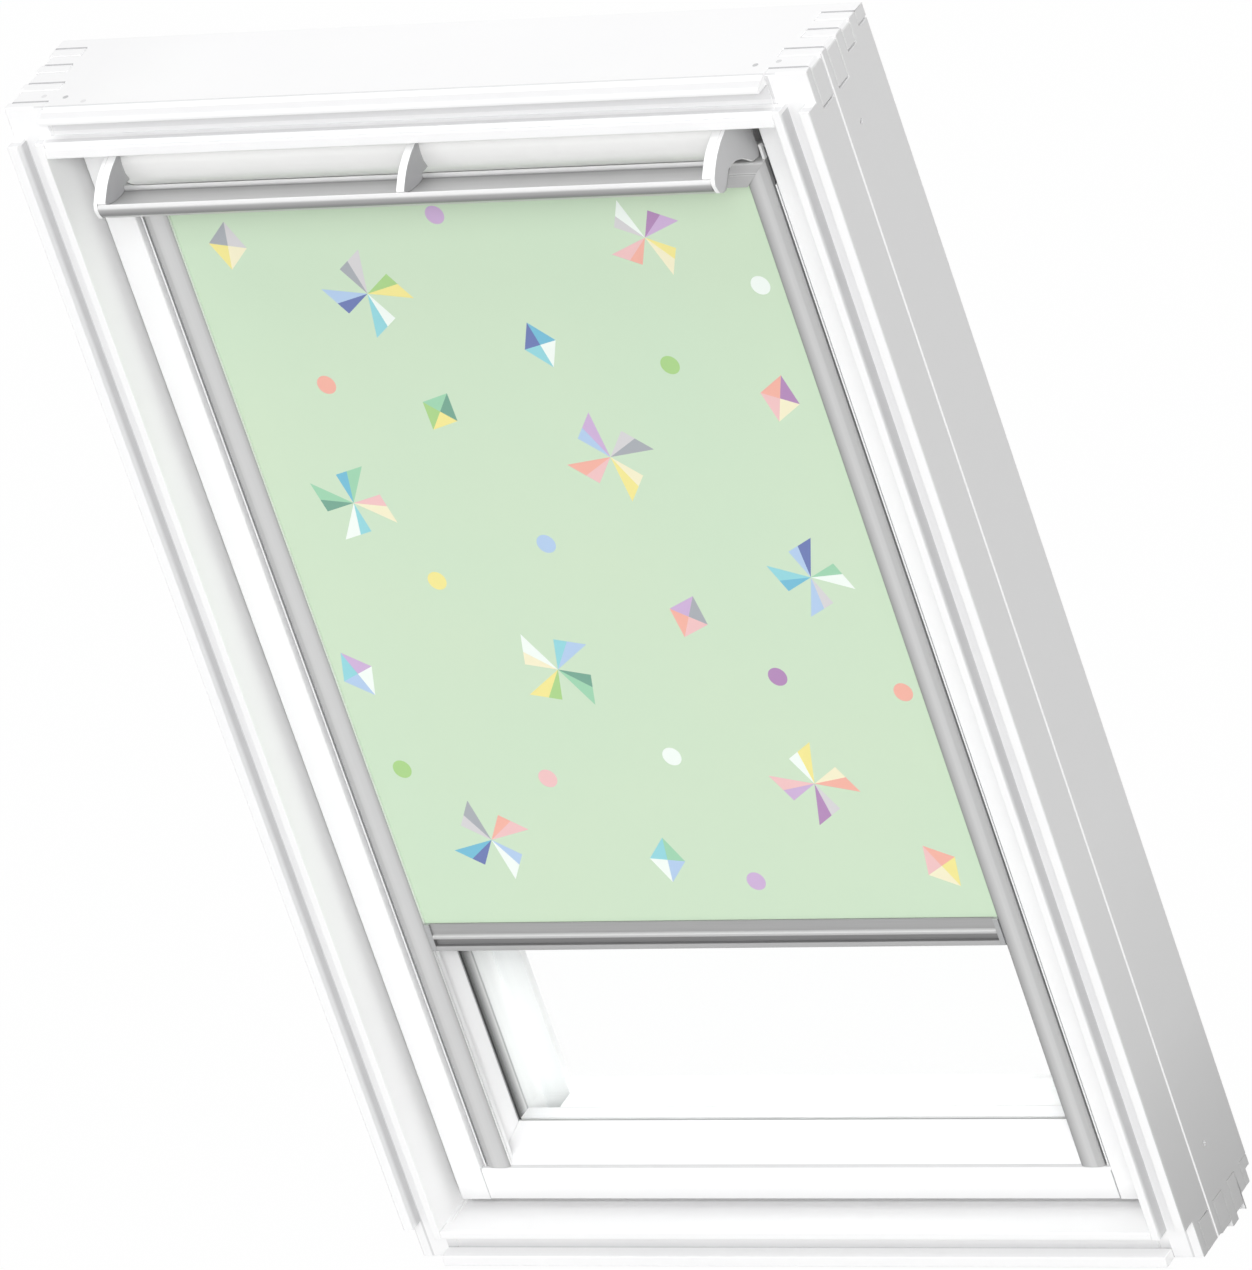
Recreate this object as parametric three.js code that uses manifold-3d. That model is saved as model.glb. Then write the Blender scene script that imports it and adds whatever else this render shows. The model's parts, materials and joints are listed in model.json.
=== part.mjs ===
// Centre-pivot roof window with a roller blind on its sash, in millimetres.
// X runs to the right seen from the room, Y out of the room and Z up along the window.
// Sizes are measured from the frame's front plane (Y), its corner blocks' lower end (Z) and its middle (X).
// The exported group then shifts them, so that its origin is the middle of the flat rib under the frame.
import * as THREE from "three";
import { mergeVertices } from "three/addons/utils/BufferGeometryUtils.js";
import Module from "manifold-3d";

// Fits
const touchGap = 0.3;
const runGap = 1;
const cutOver = 5;
const arcSteps = 4;
const roundSteps = 32;

// Frame members
const frameWidth = 780;
const frameHeight = 1178;
const frameDepth = 126;
const lipWidth = 10;
const grooveDepth = 15.3;
const grooveWidth = 18;
const tongueWidth = 7.5;
const topTongueWidth = 14.4;
const topRebateWidth = 5;
const topRebateDepth = 3;
const edgeEase = 1.5;
const topLipFall = 5;
const topLipRound = 3;
const neckInset = 26;
const neckSlope = 4;
const backWidth = 32;

// Comb joints of the frame corners
const frontShoulder = 40;
const shoulderStepShare = 0.422;
const lipEndBottom = 37.5;
const lipEndTop = 29.5;
const bottomLipInset = 29;
const tipChamfer = 3.5;
const slotPocket = 1.6;
const bottomTipChamfer = 7;
// Where a side member's fingers start and end, as shares of the depth behind the groove
const fingerShares = [[0, 0.079], [0.25, 0.359], [0.521, 0.63], [0.76, 0.873]];
// How far down the top member's fingers reach between them, as shares of the top member's height
const topFingerShares = [0.9, 0.9, 0.5, 0.3];

// Underside of the frame
const ribDrop = 8.5;
const ribSlope = 18;
const ribWidth = 32.5;
const ribBackInset = 25.5;
const heelRise = 6.8;
const heelInset = 7;
const heelTop = 20;

// Outer side faces
const sideGrooveAt = 45.5;
const sideGrooveWidth = 3;
const sideGrooveDepth = 1.8;
const sideGrooveFloor = 0.4;
const screwHoleRadius = 2.5;
const screwHoleDepth = 8;
const screwHoleInset = 80;

// Sash
const sashTopGap = 1.6;
const sashTopEase = 4;
const sashBottomGap = 1.5;
const sashBackInset = 18;
const sashThickness = 73;
const flangeWidth = 9.5;
const flangeStep = 16;
const bottomFaceRise = 10;
const bottomFaceWidth = 29.3;
const bottomLedgeRise = 3.7;
const bottomLedgeDepth = 7;
const stileFaceWidth = 29.5;
const railRecessDepth = 12.5;
const railRecessWidth = 31;
const sealDepth = 2.7;
const sealWidth = 8;

// Glazing
const sightRise = 26;
const sightDrop = 72;
const paneSetback = 37;
const paneSeat = 1.5;
const paneThickness = 4;
const unitThickness = 24;
const paneEdge = 9.5;
const spacerWidth = 7;
const glazingSealWidth = 6;

// Outside covers of sash and frame
const coverSideGap = 8.5;
const coverSideLap = 30.5;
const coverBevel = 4;
const coverBevelDepth = 6;
const coverWall = 2.5;
const coverLip = 8;
const coverFootInset = 8;
const coverFootWidth = 5;
const coverEndLap = 10;
const coverBottomGap = 8;
const coverTopGap = 6;
const claddingThickness = 4;
const claddingInset = 6;
const claddingRound = 1.2;

// Pivot
const pivotSetback = 35;
const pivotPlateHeight = 100;
const pivotPlateDepth = 36;
const pivotPlateThickness = 2.6;
const pivotPinRadius = 9;
const pivotPinReach = 12;
const bushRadius = 15;
const bushLength = 13;

// Latch
const latchSetback = 53;
const latchCaseWidth = 56;
const latchCaseDepth = 20;
const latchCaseHeight = 36;
const latchBoltWidth = 16;
const latchBoltDepth = 8;
const latchBoltLength = 27;
const latchBoltDrop = 0.5;
const strikerWidth = 60;
const strikerDepth = 24;
const strikerThickness = 2.4;
const strikerPocket = 12;

// Sash top rail and its vent slot
const topRailStep = 39.5;
const topRailLipHeight = 24;
const topRailSlope = 10;
const ventSlotInset = 23.5;
const ventSlotHeight = 16;
const ventSlotDrop = 30;
const ventSlotStart = 60;

// Control bar and vent flap, all round the flap's hinge axis
const flapAxisSetback = 5;
const flapAxisDrop = 17;
const flapReach = 33;
const flapSideGap = 17.5;
const flapWall = 2.5;
const barReach = 72.5;
const barOverhang = 1;
const finWidth = 8;
const endPlateWidth = 4.7;
const hingePinRadius = 3;
const hingePinReach = 9.5;
// Outlines as shares of the flap's reach, from the hinge axis outwards and upwards
const flapShares = [
  [-0.8, 0.5], [-0.86, 0.36], [-0.873, 0.2], [-0.873, -0.152], [-0.83, -0.29],
  [-0.73, -0.42], [-0.545, -0.58], [-0.32, -0.72], [-0.121, -0.81],
];
const endPlateBackShares = [[0.2, -0.6], [0.3, -0.2], [0.2, 0.22], [-0.3, 0.45]];
// Outlines as shares of the bar's reach
const barTopShares = [[-0.965, -0.117], [-0.89, -0.162], [-0.745, -0.196], [-0.61, -0.196], [-0.51, -0.18]];
const barUnderShares = [
  [-0.51, -0.234], [-0.552, -0.262], [-0.717, -0.407], [-0.77, -0.414], [-0.828, -0.4],
  [-0.979, -0.283], [-1, -0.193],
];
const finFrontShares = [[-0.965, -0.117], [-0.9, -0.069], [-0.78, 0.021], [-0.634, 0.131], [-0.524, 0.193]];
const finTopShares = [[-0.43, 0.227], [-0.403, 0.2]];

// Blind
const railSideGap = 1.5;
const railWidth = 23;
const railSetback = 1.5;
const railDepth = 10.6;
const railWall = 1.4;
const railLowRise = 2.7;
const railSlotWidth = 3;
const casingSetback = 1;
const casingDepth = 26;
const casingBelowRoller = 11.1;
const casingHeight = 23.6;
const casingWall = 1.2;
const casingRound = 1.6;
const casingBackRise = 1.6;
const casingLineHeight = 12;
const casingLineWidth = 1.2;
const casingLineDepth = 0.5;
const casingEndThickness = 2.5;
const rollerSetback = 15.5;
const rollerDrop = 63.5;
const windingRadius = 8.5;
const tubeRadius = 7;
const tubeWall = 1.5;
const tubeLap = 11;
const plugLength = 6;
const plugRim = 1.6;
const shaftRadius = 2;
const springRadius = 4.6;
const springHalfLength = 150;
const fabricThickness = 0.4;
const fabricSetback = 7;
const fabricLap = 4.5;

// Blind bottom bar
const bottomBarHigh = 333;
const bottomBarHeight = 27;
const bottomBarDepth = 6;
const bottomBarNoseSetback = 2.5;
const bottomBarFaceSetback = 5;
const gliderReach = 18;
const gliderDepth = 6;
const gliderHeight = 20;
// Front outline of the bar as shares of its height from below and of its nose's stand-out
const barFaceShares = [
  [0, 0.8], [0.19, 0.8], [0.22, -0.4], [0.43, -0.4], [0.46, 0.85], [0.5, 1], [0.56, 1], [0.62, 0.1], [1, 0],
];

// Places worked out from the sizes
const half = frameWidth / 2;
const tongueAt = lipWidth + grooveWidth;
const frameInner = half - tongueAt - tongueWidth;
const openBottom = tongueAt + tongueWidth;
const openTop = frameHeight - tongueAt - topTongueWidth;
const pivotHeight = (openBottom + openTop) / 2;
const combDepth = frameDepth - grooveDepth;
const shoulderStep = grooveDepth + shoulderStepShare * combDepth;
const neckStart = frameDepth - neckInset;
const ribBack = frameDepth - ribBackInset;
const ribFront = ribBack - ribWidth;
const ribSlopeStart = ribFront - ribSlope;
const heelBack = frameDepth - heelInset;
const sashOuter = frameInner - runGap;
const sashBottom = openBottom + sashBottomGap;
const sashTop = openTop - sashTopGap;
const sashBack = frameDepth - sashBackInset;
const sashFront = sashBack - sashThickness;
const flangeFront = sashFront + flangeStep;
const stileFaceOuter = sashOuter - flangeWidth;
const stileFaceInner = stileFaceOuter - stileFaceWidth;
const bottomFaceLow = sashBottom + bottomFaceRise;
const bottomFaceHigh = bottomFaceLow + bottomFaceWidth;
const bottomLedge = bottomFaceHigh + bottomLedgeRise;
const railRecessFloor = sashFront + railRecessDepth;
const sightSide = stileFaceInner - railRecessWidth;
const sightBottom = bottomLedge + sightRise;
const sightTop = sashTop - sightDrop;
const paneFront = sashFront + paneSetback;
const rebateSide = sightSide + paneEdge + runGap;
const rebateFront = paneFront - paneSeat;
const coverFront = sashBack + touchGap;
const coverBack = frameDepth;
const coverOuter = sashOuter - coverSideGap;
const coverInner = sightSide - coverSideLap;
const coverBottomLow = sashBottom + coverBottomGap;
const coverBottomHigh = sightBottom + coverEndLap;
const coverTopHigh = sashTop - coverTopGap;
const coverTopLow = sightTop - coverEndLap;
const pivotDepth = sashFront + pivotSetback;
const latchDepth = sashFront + latchSetback;
const topRailBack = sashFront + topRailStep;
const ventSlotWidth = sightSide - ventSlotInset - ventSlotStart;
const ventSlotLow = sashTop - ventSlotDrop;
const flapAxisDepth = sashFront + flapAxisSetback;
const flapAxisHeight = sashTop - flapAxisDrop;
const flapHalfWidth = stileFaceInner - flapSideGap;
const barHalfWidth = flapHalfWidth + barOverhang;
const railInner = sightSide + railSideGap;
const railOuter = railInner + railWidth;
const railFront = sashFront + railSetback;
const railLow = bottomFaceHigh + railLowRise;
const rollerDepth = sashFront + rollerSetback;
const rollerHeight = sashTop - rollerDrop;
const tubeHalfLength = railInner + tubeLap;
const casingFront = sashFront + casingSetback;
const casingBack = casingFront + casingDepth;
const casingLow = rollerHeight - casingBelowRoller;
const casingHigh = casingLow + casingHeight;
const casingBackLow = casingLow + casingBackRise;
const topRailFront = casingBack + touchGap;
const fabricDepth = sashFront + fabricSetback;
const fabricHalfWidth = railInner + fabricLap;
const bottomBarLow = bottomBarHigh - bottomBarHeight;
const bottomBarNose = sashFront + bottomBarNoseSetback;
const bottomBarFront = sashFront + bottomBarFaceSetback;

const wasm = await Module();
wasm.setup();

// Geometry helpers

// Rounds the corners of an outline: a corner is [a, b] or [a, b, radius].
function rounded(corners) {
  const points = [];
  corners.forEach(([a, b, radius = 0], i) => {
    const corner = new THREE.Vector2(a, b);
    if (radius === 0) {
      points.push(corner);
      return;
    }
    const [fromA, fromB] = corners.at(i - 1);
    const [toA, toB] = corners[(i + 1) % corners.length];
    const before = new THREE.Vector2(fromA, fromB).sub(corner).normalize();
    const after = new THREE.Vector2(toA, toB).sub(corner).normalize();
    const turn = before.angleTo(after) / 2;
    const run = radius / Math.tan(turn);
    const start = corner.clone().addScaledVector(before, run);
    const end = corner.clone().addScaledVector(after, run);
    const bend = new THREE.QuadraticBezierCurve(start, corner, end);
    points.push(...bend.getPoints(arcSteps));
  });
  return points;
}

function extruded(corners, length) {
  return new THREE.ExtrudeGeometry(new THREE.Shape(rounded(corners)), { depth: length, bevelEnabled: false });
}

// An outline in Y and Z, run along X.
function alongX(corners, from, to) {
  const turn = new THREE.Matrix4().set(0, 0, 1, from, 1, 0, 0, 0, 0, 1, 0, 0, 0, 0, 0, 1);
  return solid(extruded(corners, to - from).applyMatrix4(turn));
}

// An outline in X and Z, run along Y.
function alongY(corners, from, to) {
  const turn = new THREE.Matrix4().set(1, 0, 0, 0, 0, 0, -1, to, 0, 1, 0, 0, 0, 0, 0, 1);
  return solid(extruded(corners, to - from).applyMatrix4(turn));
}

// An outline in X and Y, run along Z.
function alongZ(corners, from, to) {
  return solid(extruded(corners, to - from).translate(0, 0, from));
}

function block(x0, x1, y0, y1, z0, z1) {
  const box = new THREE.BoxGeometry(x1 - x0, y1 - y0, z1 - z0);
  return solid(box.translate((x0 + x1) / 2, (y0 + y1) / 2, (z0 + z1) / 2));
}

// A rod along X round the axis at depth y and height z.
function rod(radius, x0, x1, y, z) {
  const cylinder = new THREE.CylinderGeometry(radius, radius, x1 - x0, roundSteps);
  return solid(cylinder.rotateZ(Math.PI / 2).translate((x0 + x1) / 2, y, z));
}

// A sleeve along X, its wall between two radii.
function sleeve(inner, outer, x0, x1, y, z) {
  return rod(outer, x0, x1, y, z).subtract(rod(inner, x0 - cutOver, x1 + cutOver, y, z));
}

// A rectangular ring of one width, run along Y.
function ringAlongY(x, z0, z1, width, from, to) {
  const outer = block(-x, x, from, to, z0, z1);
  return outer.subtract(block(width - x, x - width, from - cutOver, to + cutOver, z0 + width, z1 - width));
}

function solid(geometry) {
  geometry.deleteAttribute("normal");
  geometry.deleteAttribute("uv");
  const merged = mergeVertices(geometry);
  return new wasm.Manifold(
    new wasm.Mesh({
      numProp: 3,
      vertProperties: new Float32Array(merged.attributes.position.array),
      triVerts: new Uint32Array(merged.index.array),
    }),
  );
}

function geometryOf(shape) {
  const mesh = shape.getMesh();
  const geometry = new THREE.BufferGeometry();
  geometry.setAttribute("position", new THREE.BufferAttribute(new Float32Array(mesh.vertProperties), 3));
  geometry.setIndex(new THREE.BufferAttribute(new Uint32Array(mesh.triVerts), 1));
  const flat = geometry.toNonIndexed();
  flat.computeVertexNormals();
  return flat;
}

function joined(shapes) {
  return shapes.reduce((all, shape) => all.add(shape));
}

function cut(shape, cutters) {
  return cutters.reduce((left, cutter) => left.subtract(cutter), shape);
}

// Turns shares into points round the flap's hinge axis.
function roundFlapAxis(shares, reach, lift = 0) {
  return shares.map(([a, b]) => [flapAxisDepth + a * reach, flapAxisHeight + b * reach + lift]);
}

// A closed strip of even thickness behind an open line of points, on the line's left.
function strip(points, thickness) {
  const line = points.map(([a, b]) => new THREE.Vector2(a, b));
  const inner = line.map((point, i) => {
    const before = line[Math.max(i - 1, 0)];
    const after = line[Math.min(i + 1, line.length - 1)];
    const way = after.clone().sub(before).normalize();
    return [point.x - way.y * thickness, point.y + way.x * thickness];
  });
  return [...points, ...inner.reverse()];
}

// Materials
const paint = new THREE.MeshStandardMaterial({ color: 0xfafafa, roughness: 0.35 });
const whitePlastic = new THREE.MeshStandardMaterial({ color: 0xf4f4f3, roughness: 0.4 });
const aluminium = new THREE.MeshStandardMaterial({ color: 0xc4c7c9, metalness: 0.7, roughness: 0.4 });
const steel = new THREE.MeshStandardMaterial({ color: 0xb6b8ba, metalness: 0.9, roughness: 0.35 });
const paleCladding = new THREE.MeshStandardMaterial({ color: 0xdcdedf, metalness: 0.3, roughness: 0.4 });
const rubber = new THREE.MeshStandardMaterial({ color: 0x2c2d2e, roughness: 0.8 });
const paleRubber = new THREE.MeshStandardMaterial({ color: 0xb8b8b8, roughness: 0.8 });
const glass = new THREE.MeshStandardMaterial({ color: 0xeef4f4, transparent: true, opacity: 0.3 });
const spacerMetal = new THREE.MeshStandardMaterial({ color: 0x8e9295, metalness: 0.6, roughness: 0.4 });
const fabric = new THREE.MeshStandardMaterial({ color: 0xcde2c8, roughness: 0.9 });
const foam = new THREE.MeshStandardMaterial({ color: 0x3c3d3e, roughness: 1 });

const roofWindow = new THREE.Group();
roofWindow.position.set(0, -(ribFront + ribBack) / 2, ribDrop);

function add(name, shape, material) {
  const mesh = new THREE.Mesh(geometryOf(shape), material);
  mesh.name = name;
  roofWindow.add(mesh);
  return mesh;
}

// Adds a right-hand piece and its mirror image on the left.
function addPair(name, shape, material) {
  add(name + "_right", shape, material);
  add(name + "_left", shape, material).scale.x = -1;
}

// Frame

// Depths between which a side member's finger lies, and those of the gaps behind each finger
function fingerDepths() {
  return fingerShares.map(([from, to]) => [grooveDepth + from * combDepth, grooveDepth + to * combDepth]);
}

function gapDepths() {
  const fingers = fingerDepths();
  return fingers.map(([, end], i) => [end, i + 1 < fingers.length ? fingers[i + 1][0] : frameDepth]);
}

function shoulderAt(depth) {
  return depth < shoulderStep ? half - frontShoulder : half - backWidth;
}

// Everything under the frame: front edge, rib and heel
function undersideVoid() {
  const outline = [
    [-cutOver, -ribDrop - cutOver], [-cutOver, 0], [ribSlopeStart, 0], [ribFront, -ribDrop],
    [ribBack, -ribDrop], [ribBack, heelRise], [heelBack, heelRise], [heelBack, heelTop],
    [frameDepth + cutOver, heelTop], [frameDepth + cutOver, -ribDrop - cutOver],
  ];
  return alongX(outline, -half - cutOver, half + cutOver);
}

function topFinger(i, grow, end) {
  const [from, to] = gapDepths()[i];
  const low = frameHeight - topFingerShares[i] * (frameHeight - openTop);
  const inner = shoulderAt(from) - (grow ? 0 : cutOver);
  if (grow) {
    const back = to === frameDepth ? to + cutOver : to + touchGap;
    return block(inner, half + cutOver, from - touchGap, back, low - slotPocket, frameHeight + cutOver);
  }
  const chamfer = to === frameDepth ? touchGap : tipChamfer;
  const outline = [
    [inner, low], [end, low], [end, frameHeight - chamfer], [end - chamfer, frameHeight], [inner, frameHeight],
  ];
  return alongY(outline, from, to);
}

function bottomFinger(i, grow, end) {
  const [from, to] = gapDepths()[i];
  const inner = shoulderAt(from) - (grow ? 0 : cutOver);
  const high = openBottom - cutOver;
  if (grow) {
    const back = to === frameDepth ? to + cutOver : to + touchGap;
    return block(inner, half + cutOver, from - touchGap, back, -ribDrop - cutOver, high + touchGap);
  }
  const chamfer = to === frameDepth ? touchGap : bottomTipChamfer;
  const outline = [[inner, -ribDrop], [end - chamfer, -ribDrop], [end, chamfer - ribDrop], [end, high], [inner, high]];
  return alongY(outline, from, to);
}

function sideMember() {
  const grooveLow = sideGrooveAt - sideGrooveWidth / 2;
  const outline = [
    [frameInner, 0], [half - tongueAt, 0, edgeEase], [half - tongueAt, grooveDepth],
    [half - lipWidth, grooveDepth], [half - lipWidth, 0, edgeEase], [half, 0, edgeEase],
    [half, grooveLow], [half - sideGrooveDepth, grooveLow],
    [half - sideGrooveDepth, grooveLow + sideGrooveFloor], [half, grooveLow + sideGrooveWidth],
    [half, frameDepth], [half - backWidth, frameDepth], [half - backWidth, neckStart + neckSlope],
    [frameInner, neckStart],
  ];
  const body = alongZ(outline, -ribDrop, frameHeight);
  const shoulderInner = half - frontShoulder;
  const shoulders = [
    block(shoulderInner, frameInner + cutOver, grooveDepth, shoulderStep, openTop, frameHeight),
    block(shoulderInner, frameInner + cutOver, grooveDepth, shoulderStep, -ribDrop, openBottom),
  ];
  const lip = half - tongueAt;
  const cutters = [
    undersideVoid(),
    block(lip, half + cutOver, -cutOver, grooveDepth, -cutOver, lipEndBottom),
    block(lip, half + cutOver, -cutOver, grooveDepth, frameHeight - lipEndTop, frameHeight + cutOver),
    block(0, half, -cutOver, grooveDepth, -cutOver, tongueAt),
    block(0, half, -cutOver, grooveDepth, frameHeight - tongueAt, frameHeight + cutOver),
    block(0, half - backWidth, shoulderStep, frameDepth + cutOver, openTop, frameHeight + cutOver),
    block(0, half - backWidth, shoulderStep, frameDepth + cutOver, -ribDrop - cutOver, openBottom),
    pivotPocket(),
    ...gapDepths().flatMap((gap, i) => [topFinger(i, true), bottomFinger(i, true)]),
    ...[screwHoleInset, frameHeight - screwHoleInset].map((z) =>
      rod(screwHoleRadius, half - screwHoleDepth, half + cutOver, pivotDepth, z)),
  ];
  return cut(joined([body, ...shoulders]), cutters);
}

// Members across: their body stops at the shoulders, and their fingers run out to the sides.
// Beside the tongue, over its height range, the end is cut back for the side member's lip.
function acrossMember(outline, fingerOf, tongueRange) {
  const wide = half - backWidth - touchGap;
  const narrow = half - frontShoulder - touchGap;
  const body = alongX(outline, -wide, wide);
  const low = Math.min(...outline.map(([, z]) => z)) - cutOver;
  const high = Math.max(...outline.map(([, z]) => z)) + cutOver;
  const cutters = [narrow, -half].flatMap((x) => {
    const x1 = x < 0 ? -narrow : half;
    const tongueX0 = x < 0 ? -half : frameInner - touchGap;
    const tongueX1 = x < 0 ? touchGap - frameInner : half;
    return [
      block(x, x1, grooveDepth, shoulderStep + touchGap, low, high),
      block(tongueX0, tongueX1, -cutOver, grooveDepth + cutOver, low, high),
      block(x, x1, -cutOver, grooveDepth + cutOver, ...tongueRange),
    ];
  });
  const right = joined(gapDepths().map((gap, i) => fingerOf(i, false, half)));
  const fingers = right.add(mirrored(right));
  return cut(body, cutters).add(fingers);
}

function mirrored(shape) {
  const geometry = geometryOf(shape).scale(-1, 1, 1);
  const turned = new THREE.BufferGeometry();
  const places = geometry.attributes.position.array;
  const swapped = new Float32Array(places.length);
  for (let i = 0; i < places.length; i += 9) {
    swapped.set(places.subarray(i, i + 3), i);
    swapped.set(places.subarray(i + 6, i + 9), i + 3);
    swapped.set(places.subarray(i + 3, i + 6), i + 6);
  }
  turned.setAttribute("position", new THREE.BufferAttribute(swapped, 3));
  return solid(turned);
}

function topMember() {
  const grooveTop = frameHeight - lipWidth;
  const tongueTop = frameHeight - tongueAt;
  const outline = [
    [frameDepth, openTop], [frameDepth, frameHeight], [grooveDepth, frameHeight, topLipRound],
    [0, frameHeight - topLipFall, topLipRound], [0, grooveTop], [grooveDepth, grooveTop],
    [grooveDepth, tongueTop], [topRebateDepth, tongueTop], [topRebateDepth, tongueTop - topRebateWidth],
    [0, tongueTop - topRebateWidth], [0, openTop],
  ];
  const member = acrossMember(outline, topFinger, [tongueTop, frameHeight + cutOver]);
  const depth0 = latchDepth - strikerDepth / 2 - touchGap;
  const depth1 = latchDepth + strikerDepth / 2 + touchGap;
  const wide = strikerWidth / 2 + touchGap;
  const boltWide = latchBoltWidth / 2 + runGap;
  const boltDeep = latchBoltDepth / 2 + runGap;
  return cut(member, [
    block(-wide, wide, depth0, depth1, openTop - cutOver, openTop + strikerThickness + 2 * touchGap),
    block(-boltWide, boltWide, latchDepth - boltDeep, latchDepth + boltDeep, openTop, openTop + strikerPocket),
  ]);
}

function bottomMember() {
  const outline = [
    [0, 0], [0, lipWidth], [grooveDepth, lipWidth], [grooveDepth, tongueAt], [0, tongueAt, edgeEase],
    [0, openBottom], [neckStart, openBottom], [neckStart + neckSlope, backWidth], [frameDepth, backWidth],
    [frameDepth, heelTop], [heelBack, heelTop], [heelBack, heelRise], [ribBack, heelRise],
    [ribBack, -ribDrop], [ribFront, -ribDrop], [ribSlopeStart, 0],
  ];
  const member = acrossMember(outline, bottomFinger, [-cutOver, tongueAt]);
  const lipReach = half - bottomLipInset;
  const lip = block(-lipReach, lipReach, 0, grooveDepth - touchGap, 0, lipWidth);
  return cut(member.add(lip), [undersideVoid()]);
}

function cladding() {
  const back = frameDepth + touchGap;
  const inner = half - backWidth;
  const outer = half - claddingInset;
  const outline = [
    [inner, back], [outer, back], [outer, back + claddingThickness, claddingRound],
    [inner, back + claddingThickness, claddingRound],
  ];
  const low = heelTop + claddingRound;
  addPair("frame_cladding", alongZ(outline, low, frameHeight - claddingInset), paleCladding);
  const across = inner - touchGap;
  const strips = [["bottom", low, backWidth], ["top", openTop, frameHeight - claddingInset]];
  strips.forEach(([name, z0, z1]) => {
    const section = [
      [back, z0], [back + claddingThickness, z0, claddingRound], [back + claddingThickness, z1, claddingRound],
      [back, z1],
    ];
    add("frame_cladding_" + name, alongX(section, -across, across), paleCladding);
  });
}

// Pivots

function pivotPocket() {
  const deep = pivotPlateDepth / 2 + touchGap;
  const high = pivotPlateHeight / 2 + touchGap;
  return block(
    frameInner - cutOver, frameInner + pivotPlateThickness + 2 * touchGap,
    pivotDepth - deep, pivotDepth + deep, pivotHeight - high, pivotHeight + high,
  );
}

function pivotPlate() {
  const inner = frameInner + touchGap;
  const plate = block(
    inner, inner + pivotPlateThickness, pivotDepth - pivotPlateDepth / 2, pivotDepth + pivotPlateDepth / 2,
    pivotHeight - pivotPlateHeight / 2, pivotHeight + pivotPlateHeight / 2,
  );
  const pin = rod(pivotPinRadius, sashOuter - pivotPinReach, inner + touchGap, pivotDepth, pivotHeight);
  return plate.add(pin);
}

function pivotBush() {
  const outer = sashOuter - touchGap;
  return sleeve(pivotPinRadius + touchGap, bushRadius, outer - bushLength, outer, pivotDepth, pivotHeight);
}

// Sash

function stile() {
  const back = sashBack;
  const outline = [
    [stileFaceOuter, sashFront, edgeEase], [stileFaceInner, sashFront, edgeEase],
    [stileFaceInner, railRecessFloor], [sightSide, railRecessFloor], [sightSide, rebateFront],
    [rebateSide, rebateFront], [rebateSide, back], [sashOuter, back], [sashOuter, flangeFront],
    [stileFaceOuter, flangeFront],
  ];
  const body = alongZ(outline, sashBottom, sashTop);
  const recess = stileFaceInner;
  const bore = bushRadius + touchGap;
  const pinHole = rod(
    hingePinRadius + touchGap, recess - cutOver, recess + hingePinReach + touchGap, flapAxisDepth, flapAxisHeight,
  );
  return cut(body, [
    block(0, sashOuter + cutOver, 0, flangeFront, 0, bottomFaceLow),
    block(0, recess, 0, topRailFront, casingLow - touchGap, sashTop + cutOver),
    block(0, recess, 0, topRailBack, casingHigh + touchGap, sashTop + cutOver),
    block(0, sashOuter, sashBack - sashTopEase, sashBack + cutOver, sashTop - sashTopEase, sashTop + cutOver),
    rod(bore, sashOuter - bushLength - 2 * touchGap, sashOuter + cutOver, pivotDepth, pivotHeight),
    pinHole,
  ]);
}

function topRail() {
  const pane = sightTop + paneEdge + runGap;
  const lipTop = sightTop + topRailLipHeight;
  const outline = [
    [topRailFront, sightTop], [topRailFront, lipTop], [topRailBack, lipTop + topRailSlope],
    [topRailBack, sashTop], [sashBack - sashTopEase, sashTop], [sashBack, sashTop - sashTopEase],
    [sashBack, pane], [rebateFront, pane], [rebateFront, sightTop],
  ];
  const across = sightSide - touchGap;
  const deep = latchCaseDepth / 2 + touchGap;
  const wide = latchCaseWidth / 2 + touchGap;
  const caseLow = sashTop - latchCaseHeight - touchGap;
  const slots = [-ventSlotStart - ventSlotWidth, ventSlotStart].map((x) => block(
    x, x + ventSlotWidth, topRailBack - cutOver, sashBack + cutOver, ventSlotLow, ventSlotLow + ventSlotHeight,
  ));
  return cut(alongX(outline, -across, across), [
    block(-wide, wide, latchDepth - deep, latchDepth + deep, caseLow, sashTop + cutOver),
    ...slots,
  ]);
}

function bottomRail() {
  const pane = sightBottom - paneEdge - runGap;
  const outline = [
    [sashFront, bottomFaceLow, edgeEase], [sashFront, bottomFaceHigh, edgeEase],
    [sashFront + bottomLedgeDepth, bottomLedge], [rebateFront, sightBottom], [rebateFront, pane],
    [sashBack, pane], [sashBack, sashBottom], [flangeFront, sashBottom], [flangeFront, bottomFaceLow],
  ];
  const ends = [
    [sashFront, bottomFaceLow, edgeEase], [sashFront, bottomFaceHigh, edgeEase],
    [sashFront + bottomLedgeDepth / 2, railLow - touchGap], [railRecessFloor - touchGap, railLow - touchGap],
    [railRecessFloor - touchGap, bottomFaceLow],
  ];
  const across = sightSide - touchGap;
  const wide = stileFaceInner - touchGap;
  return alongX(outline, -across, across).add(alongX(ends, -wide, wide));
}

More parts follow.
